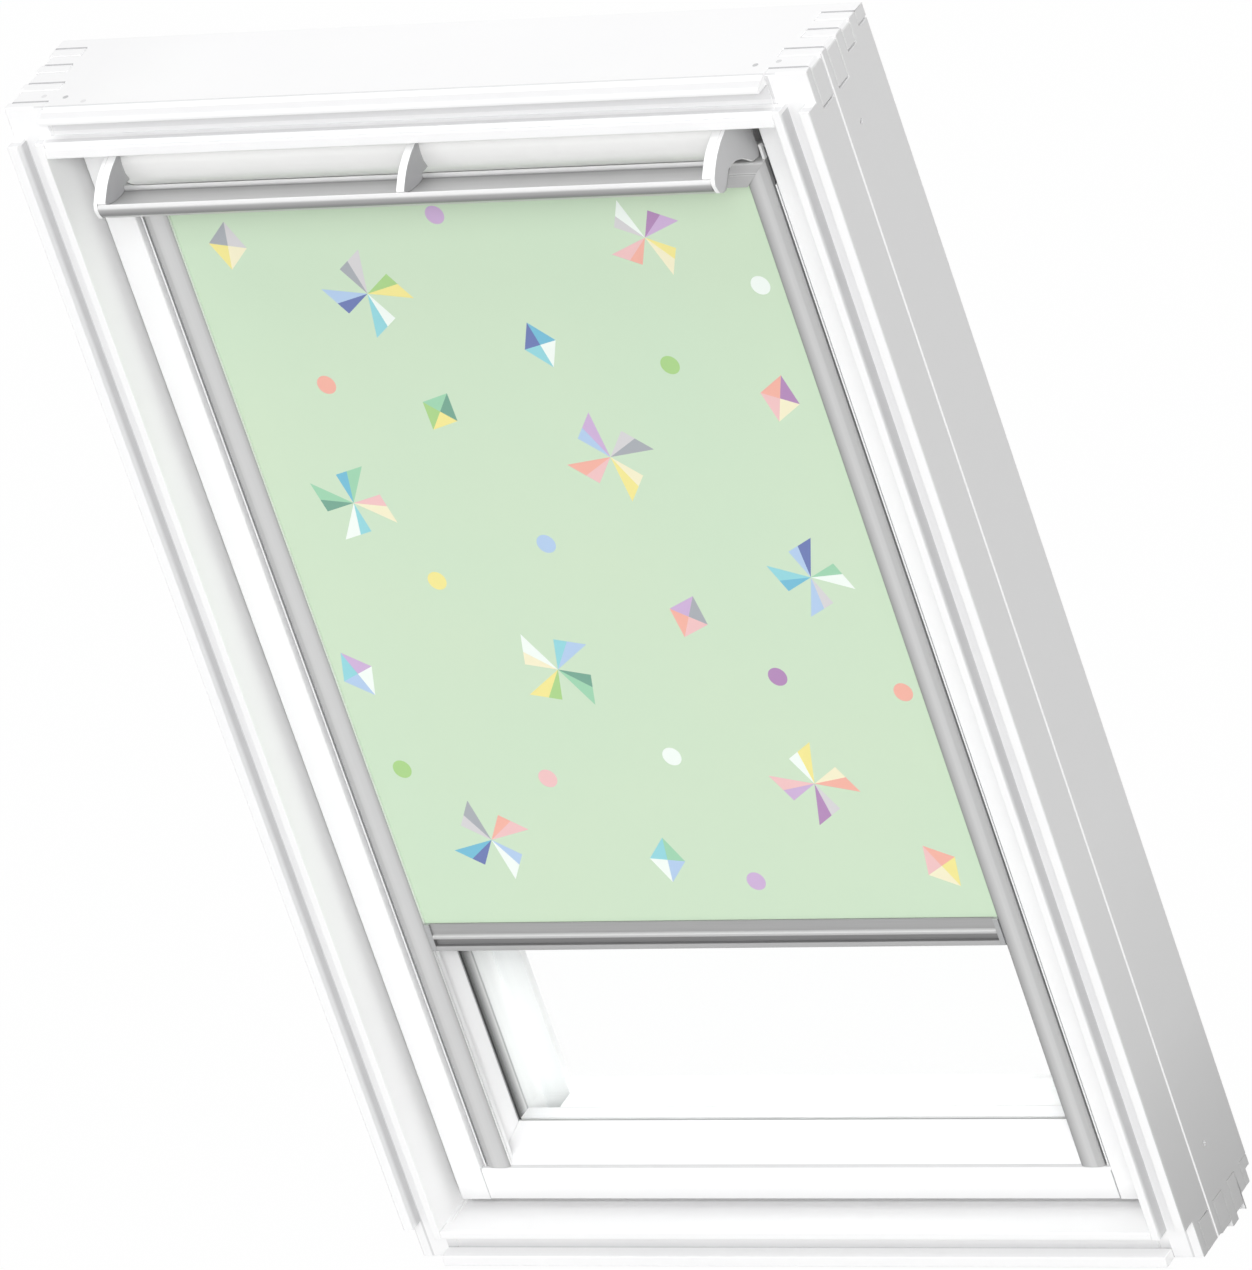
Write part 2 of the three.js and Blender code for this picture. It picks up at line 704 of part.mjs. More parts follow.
function glazing() {
  const x = sightSide + paneEdge;
  const low = sightBottom - paneEdge;
  const high = sightTop + paneEdge;
  const outerPane = paneFront + unitThickness - paneThickness;
  add("glass_inner", block(-x, x, paneFront, paneFront + paneThickness, low, high), glass);
  add("glass_outer", block(-x, x, outerPane, outerPane + paneThickness, low, high), glass);
  const spacerX = sightSide + spacerWidth;
  const spacer = ringAlongY(
    spacerX, sightBottom - spacerWidth, sightTop + spacerWidth, spacerWidth,
    paneFront + paneThickness + touchGap, outerPane - touchGap,
  );
  add("glass_spacer", spacer, spacerMetal);
  const sealX = sightSide + glazingSealWidth;
  const seal = ringAlongY(
    sealX, sightBottom - glazingSealWidth, sightTop + glazingSealWidth, glazingSealWidth,
    rebateFront + touchGap, paneFront - touchGap,
  );
  add("glazing_seal", seal, rubber);
}

function weatherSeals() {
  const front = flangeFront - sealDepth - touchGap;
  const back = flangeFront - touchGap;
  const inner = stileFaceOuter + touchGap;
  const low = bottomFaceLow;
  addPair("weather_seal", block(inner, inner + sealWidth, front, back, low, sashTop), paleRubber);
  const under = sashBottom + touchGap;
  add("weather_seal_bottom", block(-stileFaceOuter, stileFaceOuter, front, back, under, under + sealWidth), paleRubber);
}

// One cover's section: a body on the sash, a lip over the glass and a foot on the outer pane.
// The section's first axis runs outwards, from the lip's edge to the outer side.
function coverSection(inner, outer, foot, sign) {
  const wall = coverWall * sign;
  const footEnd = foot + coverFootWidth * sign;
  const paneBack = paneFront + unitThickness + touchGap;
  return [
    [inner, coverBack], [outer - coverBevel * sign, coverBack], [outer, coverBack - coverBevelDepth],
    [outer, coverFront], [footEnd, coverFront], [footEnd, paneBack], [foot, paneBack],
    [foot, coverBack - coverWall], [inner + wall, coverBack - coverWall], [inner + wall, coverBack - coverLip],
    [inner, coverBack - coverLip],
  ];
}

function sashCovers() {
  const flip = (points) => points.map(([a, b]) => [b, a]);
  const foot = sightSide + paneEdge - coverFootInset;
  const side = coverSection(coverInner, coverOuter, foot, 1);
  addPair("sash_cover", alongZ(side, coverBottomLow, coverTopHigh), paleCladding);
  const across = coverInner - touchGap;
  const bottomFoot = sightBottom - paneEdge + coverFootInset;
  const bottom = coverSection(coverBottomHigh, coverBottomLow, bottomFoot, -1);
  add("sash_cover_bottom", alongX(flip(bottom), -across, across), paleCladding);
  const topFoot = sightTop + paneEdge - coverFootInset;
  const top = coverSection(coverTopLow, coverTopHigh, topFoot, 1);
  add("sash_cover_top", alongX(flip(top), -across, across), paleCladding);
}

// Latch and vent

function latch() {
  const caseTop = sashTop - latchBoltDrop;
  const deep = latchCaseDepth / 2;
  const wide = latchCaseWidth / 2;
  const low = sashTop - latchCaseHeight;
  const boltWide = latchBoltWidth / 2;
  const boltDeep = latchBoltDepth / 2;
  const channel = block(
    -boltWide - touchGap, boltWide + touchGap, latchDepth - boltDeep - touchGap, latchDepth + boltDeep + touchGap,
    low - cutOver, sashTop + cutOver,
  );
  const shell = block(-wide, wide, latchDepth - deep, latchDepth + deep, low, caseTop);
  add("latch_case", shell.subtract(channel), steel);
  const bolt = [
    [latchDepth - boltDeep, caseTop - latchBoltLength], [latchDepth + boltDeep, caseTop - latchBoltLength],
    [latchDepth + boltDeep, caseTop], [latchDepth - boltDeep / 2, caseTop],
    [latchDepth - boltDeep, caseTop - boltDeep],
  ];
  add("latch_bolt", alongX(bolt, -boltWide, boltWide), steel);
  const striker = block(
    -strikerWidth / 2, strikerWidth / 2, latchDepth - strikerDepth / 2, latchDepth + strikerDepth / 2,
    openTop + touchGap, openTop + touchGap + strikerThickness,
  );
  const slot = block(
    -boltWide - runGap, boltWide + runGap, latchDepth - boltDeep - runGap, latchDepth + boltDeep + runGap,
    openTop - cutOver, openTop + cutOver,
  );
  add("latch_striker", striker.subtract(slot), steel);
}

function ventFilters() {
  const gap = touchGap;
  const filter = block(
    ventSlotStart + gap, ventSlotStart + ventSlotWidth - gap, topRailBack + gap, sashBack - gap,
    ventSlotLow + gap, ventSlotLow + ventSlotHeight - gap,
  );
  addPair("vent_filter", filter, foam);
}

// Control bar and flap

function flapAndBar() {
  const outer = roundFlapAxis(flapShares, flapReach);
  add("vent_flap", alongX(strip(outer, flapWall), -flapHalfWidth, flapHalfWidth), whitePlastic);

  const barTop = roundFlapAxis(barTopShares, barReach);
  const section = [...barTop, ...roundFlapAxis(barUnderShares, barReach)];
  add("control_bar", alongX(section, -barHalfWidth, barHalfWidth), aluminium);

  const flapFront = outer[2][0] - touchGap;
  const lowBack = [flapFront, outer[3][1]];
  const fin = [
    ...roundFlapAxis(barTopShares, barReach, touchGap).reverse(),
    ...roundFlapAxis(finFrontShares, barReach).slice(1),
    ...roundFlapAxis(finTopShares, barReach),
    lowBack,
  ];
  add("flap_fin_middle", alongX(fin, -finWidth / 2, finWidth / 2), whitePlastic);

  const plate = [...outer, ...roundFlapAxis(endPlateBackShares, flapReach)];
  const plateInner = flapHalfWidth + touchGap;
  const plateOuter = plateInner + endPlateWidth;
  const finInner = barHalfWidth - finWidth;
  const bore = rod(hingePinRadius + touchGap, 0, half, flapAxisDepth, flapAxisHeight);
  const neck = block(
    plateInner, plateOuter, flapFront - touchGap, flapFront + flapWall,
    lowBack[1], roundFlapAxis(finTopShares, barReach)[0][1] - edgeEase,
  );
  const end = joined([
    alongX(fin, finInner, plateOuter), alongX(plate, plateInner, plateOuter), neck,
  ]).subtract(bore);
  addPair("flap_end", end, whitePlastic);
  const pinEnd = stileFaceInner + hingePinReach;
  addPair("hinge_pin", rod(hingePinRadius, plateInner + touchGap, pinEnd, flapAxisDepth, flapAxisHeight), steel);
}

// Blind

function blindRails() {
  const back = railFront + railDepth;
  const slotLow = fabricDepth - railSlotWidth / 2;
  const slotHigh = fabricDepth + railSlotWidth / 2;
  const outline = [
    [railInner, railFront], [railOuter, railFront], [railOuter, back], [railInner, back],
    [railInner, slotHigh], [railInner + railWall, slotHigh], [railInner + railWall, back - railWall],
    [railOuter - railWall, back - railWall], [railOuter - railWall, railFront + railWall],
    [railInner + railWall, railFront + railWall], [railInner + railWall, slotLow], [railInner, slotLow],
  ];
  addPair("blind_rail", alongZ(outline, railLow, casingLow - touchGap), aluminium);
}

function headCasing() {
  const front = casingFront;
  const lineLow = casingLow + casingLineHeight;
  const outline = [
    [front, casingLow], [front, lineLow], [front + casingLineDepth, lineLow],
    [front + casingLineDepth, lineLow + casingLineWidth], [front, lineLow + casingLineWidth],
    [front, casingHigh, casingRound], [casingBack, casingHigh, casingRound], [casingBack, casingBackLow],
    [casingBack - casingWall, casingBackLow], [casingBack - casingWall, casingHigh - casingWall],
    [front + casingWall, casingHigh - casingWall], [front + casingWall, casingLow],
  ];
  const inner = railOuter - casingEndThickness;
  add("blind_casing", alongX(outline, -inner, inner), aluminium);
  const cap = [
    [front, casingLow], [front, casingHigh, casingRound], [casingBack, casingHigh, casingRound],
    [casingBack, casingBackLow],
  ];
  const end = alongX(cap, inner + touchGap, railOuter);
  const socket = rod(shaftRadius + touchGap, inner - cutOver, railOuter + cutOver, rollerDepth, rollerHeight);
  addPair("blind_casing_end", end.subtract(socket), whitePlastic);
}

function roller() {
  const shaftEnd = railOuter - touchGap;
  add("roller_shaft", rod(shaftRadius, -shaftEnd, shaftEnd, rollerDepth, rollerHeight), steel);
  const spring = sleeve(
    shaftRadius + touchGap, springRadius, -springHalfLength, springHalfLength, rollerDepth, rollerHeight,
  );
  add("roller_spring", spring, steel);
  const bore = tubeRadius - tubeWall;
  const tube = sleeve(bore, tubeRadius, -tubeHalfLength, tubeHalfLength, rollerDepth, rollerHeight);
  add("roller_tube", tube, aluminium);
  const winding = sleeve(
    tubeRadius + touchGap, windingRadius - fabricThickness, -fabricHalfWidth, fabricHalfWidth,
    rollerDepth, rollerHeight,
  );
  add("roller_winding", winding, fabric);
  const rimInner = tubeHalfLength + touchGap;
  const plug = joined([
    sleeve(shaftRadius + touchGap, bore - touchGap, tubeHalfLength - plugLength, rimInner + plugRim,
      rollerDepth, rollerHeight),
    sleeve(shaftRadius + touchGap, tubeRadius, rimInner, rimInner + plugRim, rollerDepth, rollerHeight),
  ]);
  addPair("roller_plug", plug, whitePlastic);
}

function bottomBar() {
  const standOut = bottomBarFront - bottomBarNose;
  const height = bottomBarHigh - bottomBarLow;
  const back = bottomBarFront + bottomBarDepth;
  const face = barFaceShares.map(([up, out]) => [bottomBarFront - out * standOut, bottomBarLow + up * height]);
  const outline = [...face, [back, bottomBarHigh, edgeEase], [back, bottomBarLow, edgeEase]];
  const end = railInner - touchGap;
  add("blind_bar", alongX(outline, -end, end), aluminium);
  const middle = (bottomBarHigh + bottomBarLow) / 2;
  const channelBack = railFront + railDepth - railWall - touchGap;
  const tab = railSlotWidth / 2 - touchGap;
  const glider = joined([
    block(railInner + railWall + touchGap, railInner + railWall + touchGap + gliderReach,
      channelBack - gliderDepth, channelBack, middle - gliderHeight / 2, middle + gliderHeight / 2),
    block(railInner, railInner + railWall + 2 * touchGap, fabricDepth - tab, fabricDepth + tab,
      middle - gliderHeight / 2, middle + gliderHeight / 2),
  ]);
  addPair("blind_glider", glider, whitePlastic);
}

function hangingFabric() {
  const sheet = block(
    -fabricHalfWidth, fabricHalfWidth, fabricDepth - fabricThickness / 2, fabricDepth + fabricThickness / 2,
    bottomBarHigh + touchGap, rollerHeight,
  );
  add("blind_fabric", sheet, fabric);
}

addPair("frame_side", sideMember(), paint);
add("frame_top", topMember(), paint);
add("frame_bottom", bottomMember(), paint);
cladding();
addPair("pivot_plate", pivotPlate(), steel);
addPair("pivot_bush", pivotBush(), steel);
addPair("sash_stile", stile(), paint);
add("sash_top", topRail(), paint);
add("sash_bottom", bottomRail(), paint);
glazing();
weatherSeals();
sashCovers();
latch();
ventFilters();
flapAndBar();
blindRails();
headCasing();
roller();
bottomBar();
hangingFabric();

export default roofWindow;
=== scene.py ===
import json
import math

import bmesh
import bpy
from mathutils import Euler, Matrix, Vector


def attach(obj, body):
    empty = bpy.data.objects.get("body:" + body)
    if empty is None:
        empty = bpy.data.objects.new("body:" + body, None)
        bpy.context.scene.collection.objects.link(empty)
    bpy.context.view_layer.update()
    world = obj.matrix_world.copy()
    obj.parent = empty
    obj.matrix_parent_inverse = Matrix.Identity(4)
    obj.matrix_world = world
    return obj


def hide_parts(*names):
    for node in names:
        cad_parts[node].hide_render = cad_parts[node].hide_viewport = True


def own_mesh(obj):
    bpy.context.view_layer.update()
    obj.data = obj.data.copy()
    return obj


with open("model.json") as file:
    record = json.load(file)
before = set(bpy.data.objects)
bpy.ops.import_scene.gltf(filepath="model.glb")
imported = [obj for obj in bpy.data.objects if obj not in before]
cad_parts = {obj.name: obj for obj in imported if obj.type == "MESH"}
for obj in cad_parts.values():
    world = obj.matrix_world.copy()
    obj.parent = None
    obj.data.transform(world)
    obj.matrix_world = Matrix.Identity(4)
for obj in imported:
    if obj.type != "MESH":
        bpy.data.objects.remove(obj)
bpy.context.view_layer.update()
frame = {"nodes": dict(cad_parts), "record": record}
nodes = frame["nodes"]

# Sizes below are in millimetres, from the window's middle (x), its frame's front plane (depth, outwards)
# and the foot of its corner blocks (height). The row's origin is the middle of the rib under the frame.
MM = 0.001
RIB_MIDDLE = 84.25
RIB_DROP = 8.5

# Camera
CAMERA_AT = (6.35914, -9.02068, 6.31777)
CAMERA_TURN = (61.27389, 17.07178, 26.09779)
CAMERA_LENS = 420.967
CAMERA_SENSOR = 36
CAMERA_REACH = 100

# Light
AMBIENT = 0.34
# Each lamp: name, strength, spread in degrees, and the direction that it shines from
LAMPS = [
    ("overhead", 1.28, 60, (-0.14, -0.05, 1)),
    ("left_front", 0.5, 40, (-0.45, -0.85, 0.25)),
    ("right_front", 1.44, 30, (0.44, -0.76, 0.48)),
    ("right_side", 0.26, 40, (1, -0.2, 0.1)),
]
FLOOR_REACH = 40
FLOOR_WHITE_SHARE = 0.99
FLOOR_GREY = 0.6
FLOOR_ROUGHNESS = 0.9

# Flap and bar, round the flap's hinge
HINGE_DEPTH = 40
HINGE_HEIGHT = 1117
FLAP_REACH = 33
FLAP_HALF = 297
BAR_REACH = 72.5
BAR_HALF = 298
FIN_WIDTH = 8
FIN_INNER = 290
END_INNER = 298.2
END_OUTER = 302

# Frame members, their front groove and the line along their sides
OUTER_HALF = 390
GROOVE_FROM = 9
GROOVE_TO = 29
GROOVE_DEPTH = 16
GROOVE_TOP = 1146
TOP_GROOVE = 1130
TOP_SHADE = 1154
TOP_LEDGE = 1176
TOP_FACE = 1178
LEDGE_FROM = 1.5
LEDGE_TO = 8.5
BLOCK_INSET = 37
BACK_EDGE = 120
LINE_DEPTH = 1.8
LINE_FLOOR = 44.4
LINE_FLOOR_TO = 45.2

# Sash: its reveal is splayed from the panes' edge towards the room
REVEAL_INNER = 283.35
REVEAL_BACK = 70.5
REVEAL_SPLAY = 0.52
SASH_FRONT = 35
SASH_FOOT = 47
SEAM_HEIGHT = 78.7
JOINT_AT = 314.3

# Blind
RAIL_INNER = 285
RAIL_OUTER = 308
RAIL_FRONT = 36.5
RAIL_BACK = 47.1
RAIL_LOW = 79
RAIL_HIGH = 1059.1
CASING_LOW = 1059.4
CASING_HIGH = 1083
CASING_FRONT = 36
CASING_BACK = 62
BAR_LINE = 333
BAR_FOOT = 306
ROLLER_LINE = 1070.5
FABRIC_HALF = 289.5
FABRIC_DEPTH = 42
FABRIC_THICKNESS = 0.2
FABRIC_DROP = 220
FRONT_SHEET = -0.2
REST_SHEET = 0.1


def place(x, depth, height):
    return Vector((x, depth - RIB_MIDDLE, height + RIB_DROP)) * MM


# Materials


class Value:
    """A socket of one finish, on which sums are written as plain expressions."""

    def __init__(self, finish, socket):
        self.finish = finish
        self.socket = socket

    def sum(self, operation, first, second=0.0):
        return self.finish.node("ShaderNodeMath", {"operation": operation}, {0: first, 1: second})

    def __add__(self, other):
        return self.sum("ADD", self, other)

    __radd__ = __add__

    def __sub__(self, other):
        return self.sum("SUBTRACT", self, other)

    def __rsub__(self, other):
        return self.sum("SUBTRACT", other, self)

    def __mul__(self, other):
        return self.sum("MULTIPLY", self, other)

    __rmul__ = __mul__

    def __truediv__(self, other):
        return self.sum("DIVIDE", self, other)

    def __lt__(self, other):
        return self.sum("LESS_THAN", self, other)

    def __gt__(self, other):
        return self.sum("GREATER_THAN", self, other)

    def __abs__(self):
        return self.sum("ABSOLUTE", self)

    def clamped(self):
        return self.finish.node("ShaderNodeClamp", {}, {0: self})

    def between(self, low, high):
        return (self > low) * (self < high)


class Finish:
    """One material; its surface is a Principled shader whose plain values are set by name."""

    def __init__(self, name, colour, roughness, **plain):
        self.material = bpy.data.materials.new(name)
        self.material.use_nodes = True
        self.tree = self.material.node_tree
        self.surface = self.tree.nodes["Principled BSDF"]
        self.feed("Base Color", (*colour, 1))
        self.feed("Roughness", roughness)
        for setting, value in plain.items():
            self.feed(setting.replace("_", " "), value)

    def node(self, kind, settings, sockets, output=0):
        """Adds a node; stops and steps fill a colour ramp, and a socket takes a plain value or a Value."""
        made = self.tree.nodes.new(kind)
        for name, value in settings.items():
            if name == "stops":
                ramp = made.color_ramp
                ramp.interpolation = settings.get("steps", "LINEAR")
                while len(ramp.elements) < len(value):
                    ramp.elements.new(1)
                for element, (position, colour) in zip(ramp.elements, value):
                    element.position = position
                    element.color = colour
            elif name != "steps":
                setattr(made, name, value)
        for key, value in sockets.items():
            if isinstance(value, Value):
                self.tree.links.new(value.socket, made.inputs[key])
            else:
                made.inputs[key].default_value = value
        return Value(self, made.outputs[output])

    def feed(self, name, value):
        socket = self.surface.inputs[name]
        if isinstance(value, Value):
            self.tree.links.new(value.socket, socket)
        else:
            socket.default_value = value

    def here(self):
        return self.node("ShaderNodeTexCoord", {}, {}, "Object")

    def axes(self, vector):
        return [self.node("ShaderNodeSeparateXYZ", {}, {0: vector}, axis) for axis in range(3)]

    def place(self):
        """Across, depth and height of a point, in millimetres as in place()."""
        across, depth, height = self.axes(self.here())
        return across / MM, depth / MM + RIB_MIDDLE, height / MM - RIB_DROP

    def faces(self):
        """The way a face looks, as the piece stood before it was turned."""
        facing = self.node("ShaderNodeNewGeometry", {}, {}, "True Normal")
        to_own = {"vector_type": "NORMAL", "convert_from": "WORLD", "convert_to": "OBJECT"}
        return self.axes(self.node("ShaderNodeVectorTransform", to_own, {0: facing}))

    def ramp(self, along, tones):
        """Greys from a list of (place, shade) along a length."""
        first, last = tones[0][0], tones[-1][0]
        share = ((along - first) / (last - first)).clamped()
        stops = [((at - first) / (last - first), (*grey(shade), 1)) for at, shade in tones]
        return self.node("ShaderNodeValToRGB", {"stops": stops}, {0: share})

    def noise(self, scale, detail, stretch=(1, 1, 1)):
        spread = self.node("ShaderNodeMapping", {}, {"Vector": self.here(), "Scale": stretch})
        return self.node("ShaderNodeTexNoise", {}, {"Vector": spread, "Scale": scale, "Detail": detail})

    def mixed(self, factor, under, over):
        under = under if isinstance(under, Value) else (*under, 1)
        over = over if isinstance(over, Value) else (*over, 1)
        return self.node("ShaderNodeMix", {"data_type": "RGBA"}, {0: factor, 6: under, 7: over}, 2)

    def bumped(self, height, strength, distance):
        relief = {"Height": height, "Strength": strength, "Distance": distance}
        self.feed("Normal", self.node("ShaderNodeBump", {}, relief))


def linear(*shades):
    """Colours written as on a swatch card, 0 to 255, turned into light values."""
    return tuple((s / 255 / 12.92) if s < 11 else ((s / 255 + 0.055) / 1.055) ** 2.4 for s in shades)


def grey(shade):
    return linear(shade, shade, shade)


# Sunk nails under the paint of the top face: across, depth and how much they show
NAIL_MARKS = [(-359, 33, 0.35), (-336, 30, 0.9), (-314, 22, 0.3), (335, 30.5, 0.8), (355, 35, 0.5)]
NAIL_MARK = 2.6
# Painted shade in the open seams of the comb joints on the top face: depth, and how far in from the side each
# runs
COMB_SEAMS = [(24.2, 40), (55.2, 40), (85.2, 32), (112.1, 32)]
SEAM_HALF = 1.2
# A painted shade line along the top member's lip, where its front meets the top face: its depth, where it
# stops and its share
LIP_LINE_DEPTH = 15.3
LIP_END = 29.5
LIP_LINE_SHADE = 0.45
# The top face is painted a little darker towards its left end, as painted shade
LEFT_SHADE_SHARE = 0.08
LEFT_SHADE_FROM = -240
LEFT_SHADE_RUN = 90
# Shares of painted shade on the grooves' walls, along their feet and on the parts of the top member's groove
WALL_PAINTED_SHADE = 0.88
FOOT_PAINTED_SHADE = 0.7
LOW_FOOT_PAINTED_SHADE = 0.85
LEDGE_PAINTED_SHADE = 0.45
HIGH_FLOOR_PAINTED_SHADE = 0.6
LOW_FLOOR_PAINTED_SHADE = 0.35
# The left groove's wall takes its painted shade from this depth, over this run; the right one's is full
WALL_SHADE_FROM = 5
WALL_SHADE_RUN = 4
FOOT_WIDTH = 2.2
FLOOR_RIM = 2
LOW_FOOT_UNDER = 8
LOW_FOOT_RUN = 9
# Painted shade on the frame's outer sides by height, darker towards the bottom
SIDE_SHADES = [(40, 198), (94, 204), (140, 210), (200, 219), (400, 229), (1186, 232)]
SIDE_RIM = 0.9
SIDE_FACING = 0.3
# Painted highlight on the far wall of the line along the sides: how far in it lies and its depth band
LINE_INSET = (0.2, 3)
LINE_BAND = (43, 48)
# Half widths of the sash's seams, their depth, and shares of painted shade on them and on its foot
SASH_SEAM = 0.7
SASH_JOINT = 0.6
SEAM_BACK = 41
SEAM_PAINTED_SHADE = 0.75
SASH_FOOT_PAINTED_SHADE = 0.5
SASH_FOOT_RUN = 16


def frame_tones(paint, colour):
    """Painted shade in the grooves, on the outer sides and along the top's seams; painted highlights on the
    side line and inner walls; nail marks.
    """
    across, depth, height = paint.place()
    right, _, up = paint.faces()
    inset = OUTER_HALF - abs(across)
    upright = height < GROOVE_TOP
    upper = inset > BLOCK_INSET
    sideways = abs(right) > 0.5
    floor_part = depth.between(GROOVE_DEPTH - FLOOR_RIM, GROOVE_DEPTH)

    in_groove = inset.between(GROOVE_FROM, GROOVE_TO) * (depth < GROOVE_DEPTH) * upright
    shade_by_depth = ((depth - WALL_SHADE_FROM) / WALL_SHADE_RUN + (across > 0)).clamped()
    wall = sideways * in_groove * shade_by_depth
    foot = inset.between(GROOVE_FROM, GROOVE_FROM + FOOT_WIDTH) * floor_part * upright
    low_member = (height < GROOVE_TO) * (abs(across) < OUTER_HALF - GROOVE_TO)
    low_foot = ((GROOVE_TO - LOW_FOOT_UNDER - height) / LOW_FOOT_RUN).clamped() * low_member * floor_part
    ledge = (up > 0.5) * depth.between(LEDGE_FROM, LEDGE_TO) * height.between(TOP_GROOVE, TOP_LEDGE)
    high_floor = height.between(TOP_SHADE, TOP_LEDGE) * floor_part * upper
    low_floor = height.between(TOP_GROOVE, TOP_SHADE) * floor_part * upper
    # Painted shade in the grooves: their walls, feet, floors and ledges are darkened towards the colour below
    painted_shade = WALL_PAINTED_SHADE * wall + FOOT_PAINTED_SHADE * foot + LOW_FOOT_PAINTED_SHADE * low_foot
    painted_shade = painted_shade + LEDGE_PAINTED_SHADE * ledge + HIGH_FLOOR_PAINTED_SHADE * high_floor + LOW_FLOOR_PAINTED_SHADE * low_floor
    painted_shade = painted_shade.clamped() * (0.9 + 0.2 * paint.noise(30, 3))
    colour = paint.mixed(painted_shade, colour, linear(207, 207, 208))

    # Painted shade on the top face: a line along its lip, a darkening towards its left end, and the comb
    # joints' open seams
    on_top = height > TOP_FACE - 1
    seam = LIP_LINE_SHADE * (abs(depth - LIP_LINE_DEPTH) < 1) * (inset > LIP_END)
    seam = seam + LEFT_SHADE_SHARE * ((LEFT_SHADE_FROM - across) / LEFT_SHADE_RUN).clamped()
    for back, reach in COMB_SEAMS:
        seam = seam + (abs(depth - back) < SEAM_HALF) * (inset < reach)
    colour = paint.mixed(seam * on_top, colour, linear(186, 186, 188))
    # Painted shade on the outer sides, darker towards the bottom
    outer_side = (abs(right) > SIDE_FACING) * (inset < SIDE_RIM)
    colour = paint.mixed(outer_side, colour, paint.ramp(height, SIDE_SHADES))
    for x, back, strength in NAIL_MARKS:
        away = (across - x) * (across - x) + (depth - back) * (depth - back)
        colour = paint.mixed((away < NAIL_MARK ** 2) * on_top * strength, colour, linear(186, 186, 188))
    # Painted highlight: the far wall of the line along the sides, and the sideways inner walls, are painted
    # pure white
    line = inset.between(*LINE_INSET) * depth.between(*LINE_BAND)
    inner_wall = sideways * (inset > GROOVE_TO)
    return paint.mixed((line + inner_wall).clamped(), colour, grey(255))


def sash_tones(paint, colour):
    """Painted shade in the seams of the sash's members and on its foot."""
    across, depth, height = paint.place()
    low = (height < SEAM_HEIGHT + SASH_SEAM) * (depth < SEAM_BACK)
    seam = (abs(height - SEAM_HEIGHT) < SASH_SEAM) * low * (abs(across) < JOINT_AT)
    joint = (abs(abs(across) - JOINT_AT) < SASH_JOINT) * low * (depth < SASH_FRONT + 1)
    foot = ((SASH_FOOT + SASH_FOOT_RUN - height) / SASH_FOOT_RUN).clamped() * (depth < SASH_FRONT + 2)
    # Painted shade along the seams, at the joints and towards the foot
    painted_shade = (SEAM_PAINTED_SHADE * seam + joint + SASH_FOOT_PAINTED_SHADE * foot).clamped()
    return paint.mixed(painted_shade, colour, linear(206, 206, 207))


def painted_timber(name, tones):
    """White satin paint over wood, with painted shade and highlights by its place on the frame or the sash.
    """
    paint = Finish(name, grey(249), 0.4)
    colour = paint.mixed(paint.noise(9, 2), linear(247, 247, 248), grey(251))
    paint.feed("Base Color", tones(paint, colour))
    paint.feed("Roughness", 0.34 + 0.1 * paint.noise(60, 4))
    paint.bumped(paint.noise(900, 4, (1, 1, 0.35)), 0.12, 0.0002)
    return paint


RETURNS_HALF = 300


def lacquered_sheet():
    """Pale lacquer; the covers' returns beside the panes are painted near white, as painted light."""
    lacquer = Finish("lacquered_sheet", linear(236, 237, 238), 0.35)
    plain = lacquer.mixed(lacquer.noise(14, 3), linear(232, 234, 235), grey(240))
    across, _, _ = lacquer.place()
    right, _, up = lacquer.faces()
    # Painted light: the returns beside the panes are painted near white
    edge = ((abs(right) + abs(up)) > 0.9) * (abs(across) < RETURNS_HALF)
    lacquer.feed("Base Color", lacquer.mixed(edge, plain, grey(254)))
    lacquer.feed("Roughness", 0.3 + 0.12 * lacquer.noise(45, 3))
    lacquer.bumped(lacquer.noise(1200, 2), 0.15, 0.0001)
    return lacquer


def satin_aluminium(name, stretch, tone=None):
    """Drawn and anodised aluminium, with streaks along its length; tone paints its grey from its place, as
    painted shade and highlights.
    """
    metal = Finish(name, linear(186, 187, 188), 0.4, Metallic=0.35)
    streak = metal.noise(700, 3, stretch)
    colour = metal.mixed(metal.noise(25, 2), linear(182, 183, 184), linear(190, 191, 192))
    if tone:
        colour = tone(metal)
    metal.feed("Base Color", metal.mixed(0.1 * streak, colour, linear(245, 245, 248)))
    metal.feed("Roughness", 0.3 + 0.16 * streak)
    metal.bumped(streak, 0.1, 0.0001)
    return metal


# Painted shade and highlights along the metal pieces, each as (place, shade): by depth in the bar's hollow,
# otherwise by height
BAR_HOLLOW_SHADES = [
    (-36, 225), (-30, 206), (-20, 196), (-8, 178), (0, 150), (1.6, 120), (2.2, 214), (5, 214)]
BAR_NOSE_SHADES = [(1087, 60), (1092, 92), (1098, 128), (1102, 164), (1104.5, 204), (1106.5, 228)]
PULL_BAR_SHADES = [
    (306, 170), (310.6, 174), (311.2, 116), (317.6, 126), (318.6, 184), (321.4, 196), (322.6, 152),
    (326, 158), (331.5, 158), (333, 140)]
CASING_SHADES = [
    (1059, 176), (1070, 180), (1071.2, 196), (1072.4, 210), (1073.4, 182), (1080, 184), (1081.5, 206),
    (1083, 214)]
# Painted shade across the rails' rounded faces, from their inner edge, darker on the right rail
RIGHT_RAIL_SHADES = [(285, 138), (286.8, 154), (289, 170), (292, 186), (296.5, 203)]
LEFT_RAIL_SHADES = [(285, 160), (286.4, 186), (289, 200), (292, 203), (296.5, 205)]
RAIL_OUTSIDE_SHADES = [(300.5, 200), (302, 186), (305.5, 182), (307.2, 174), (308, 170)]
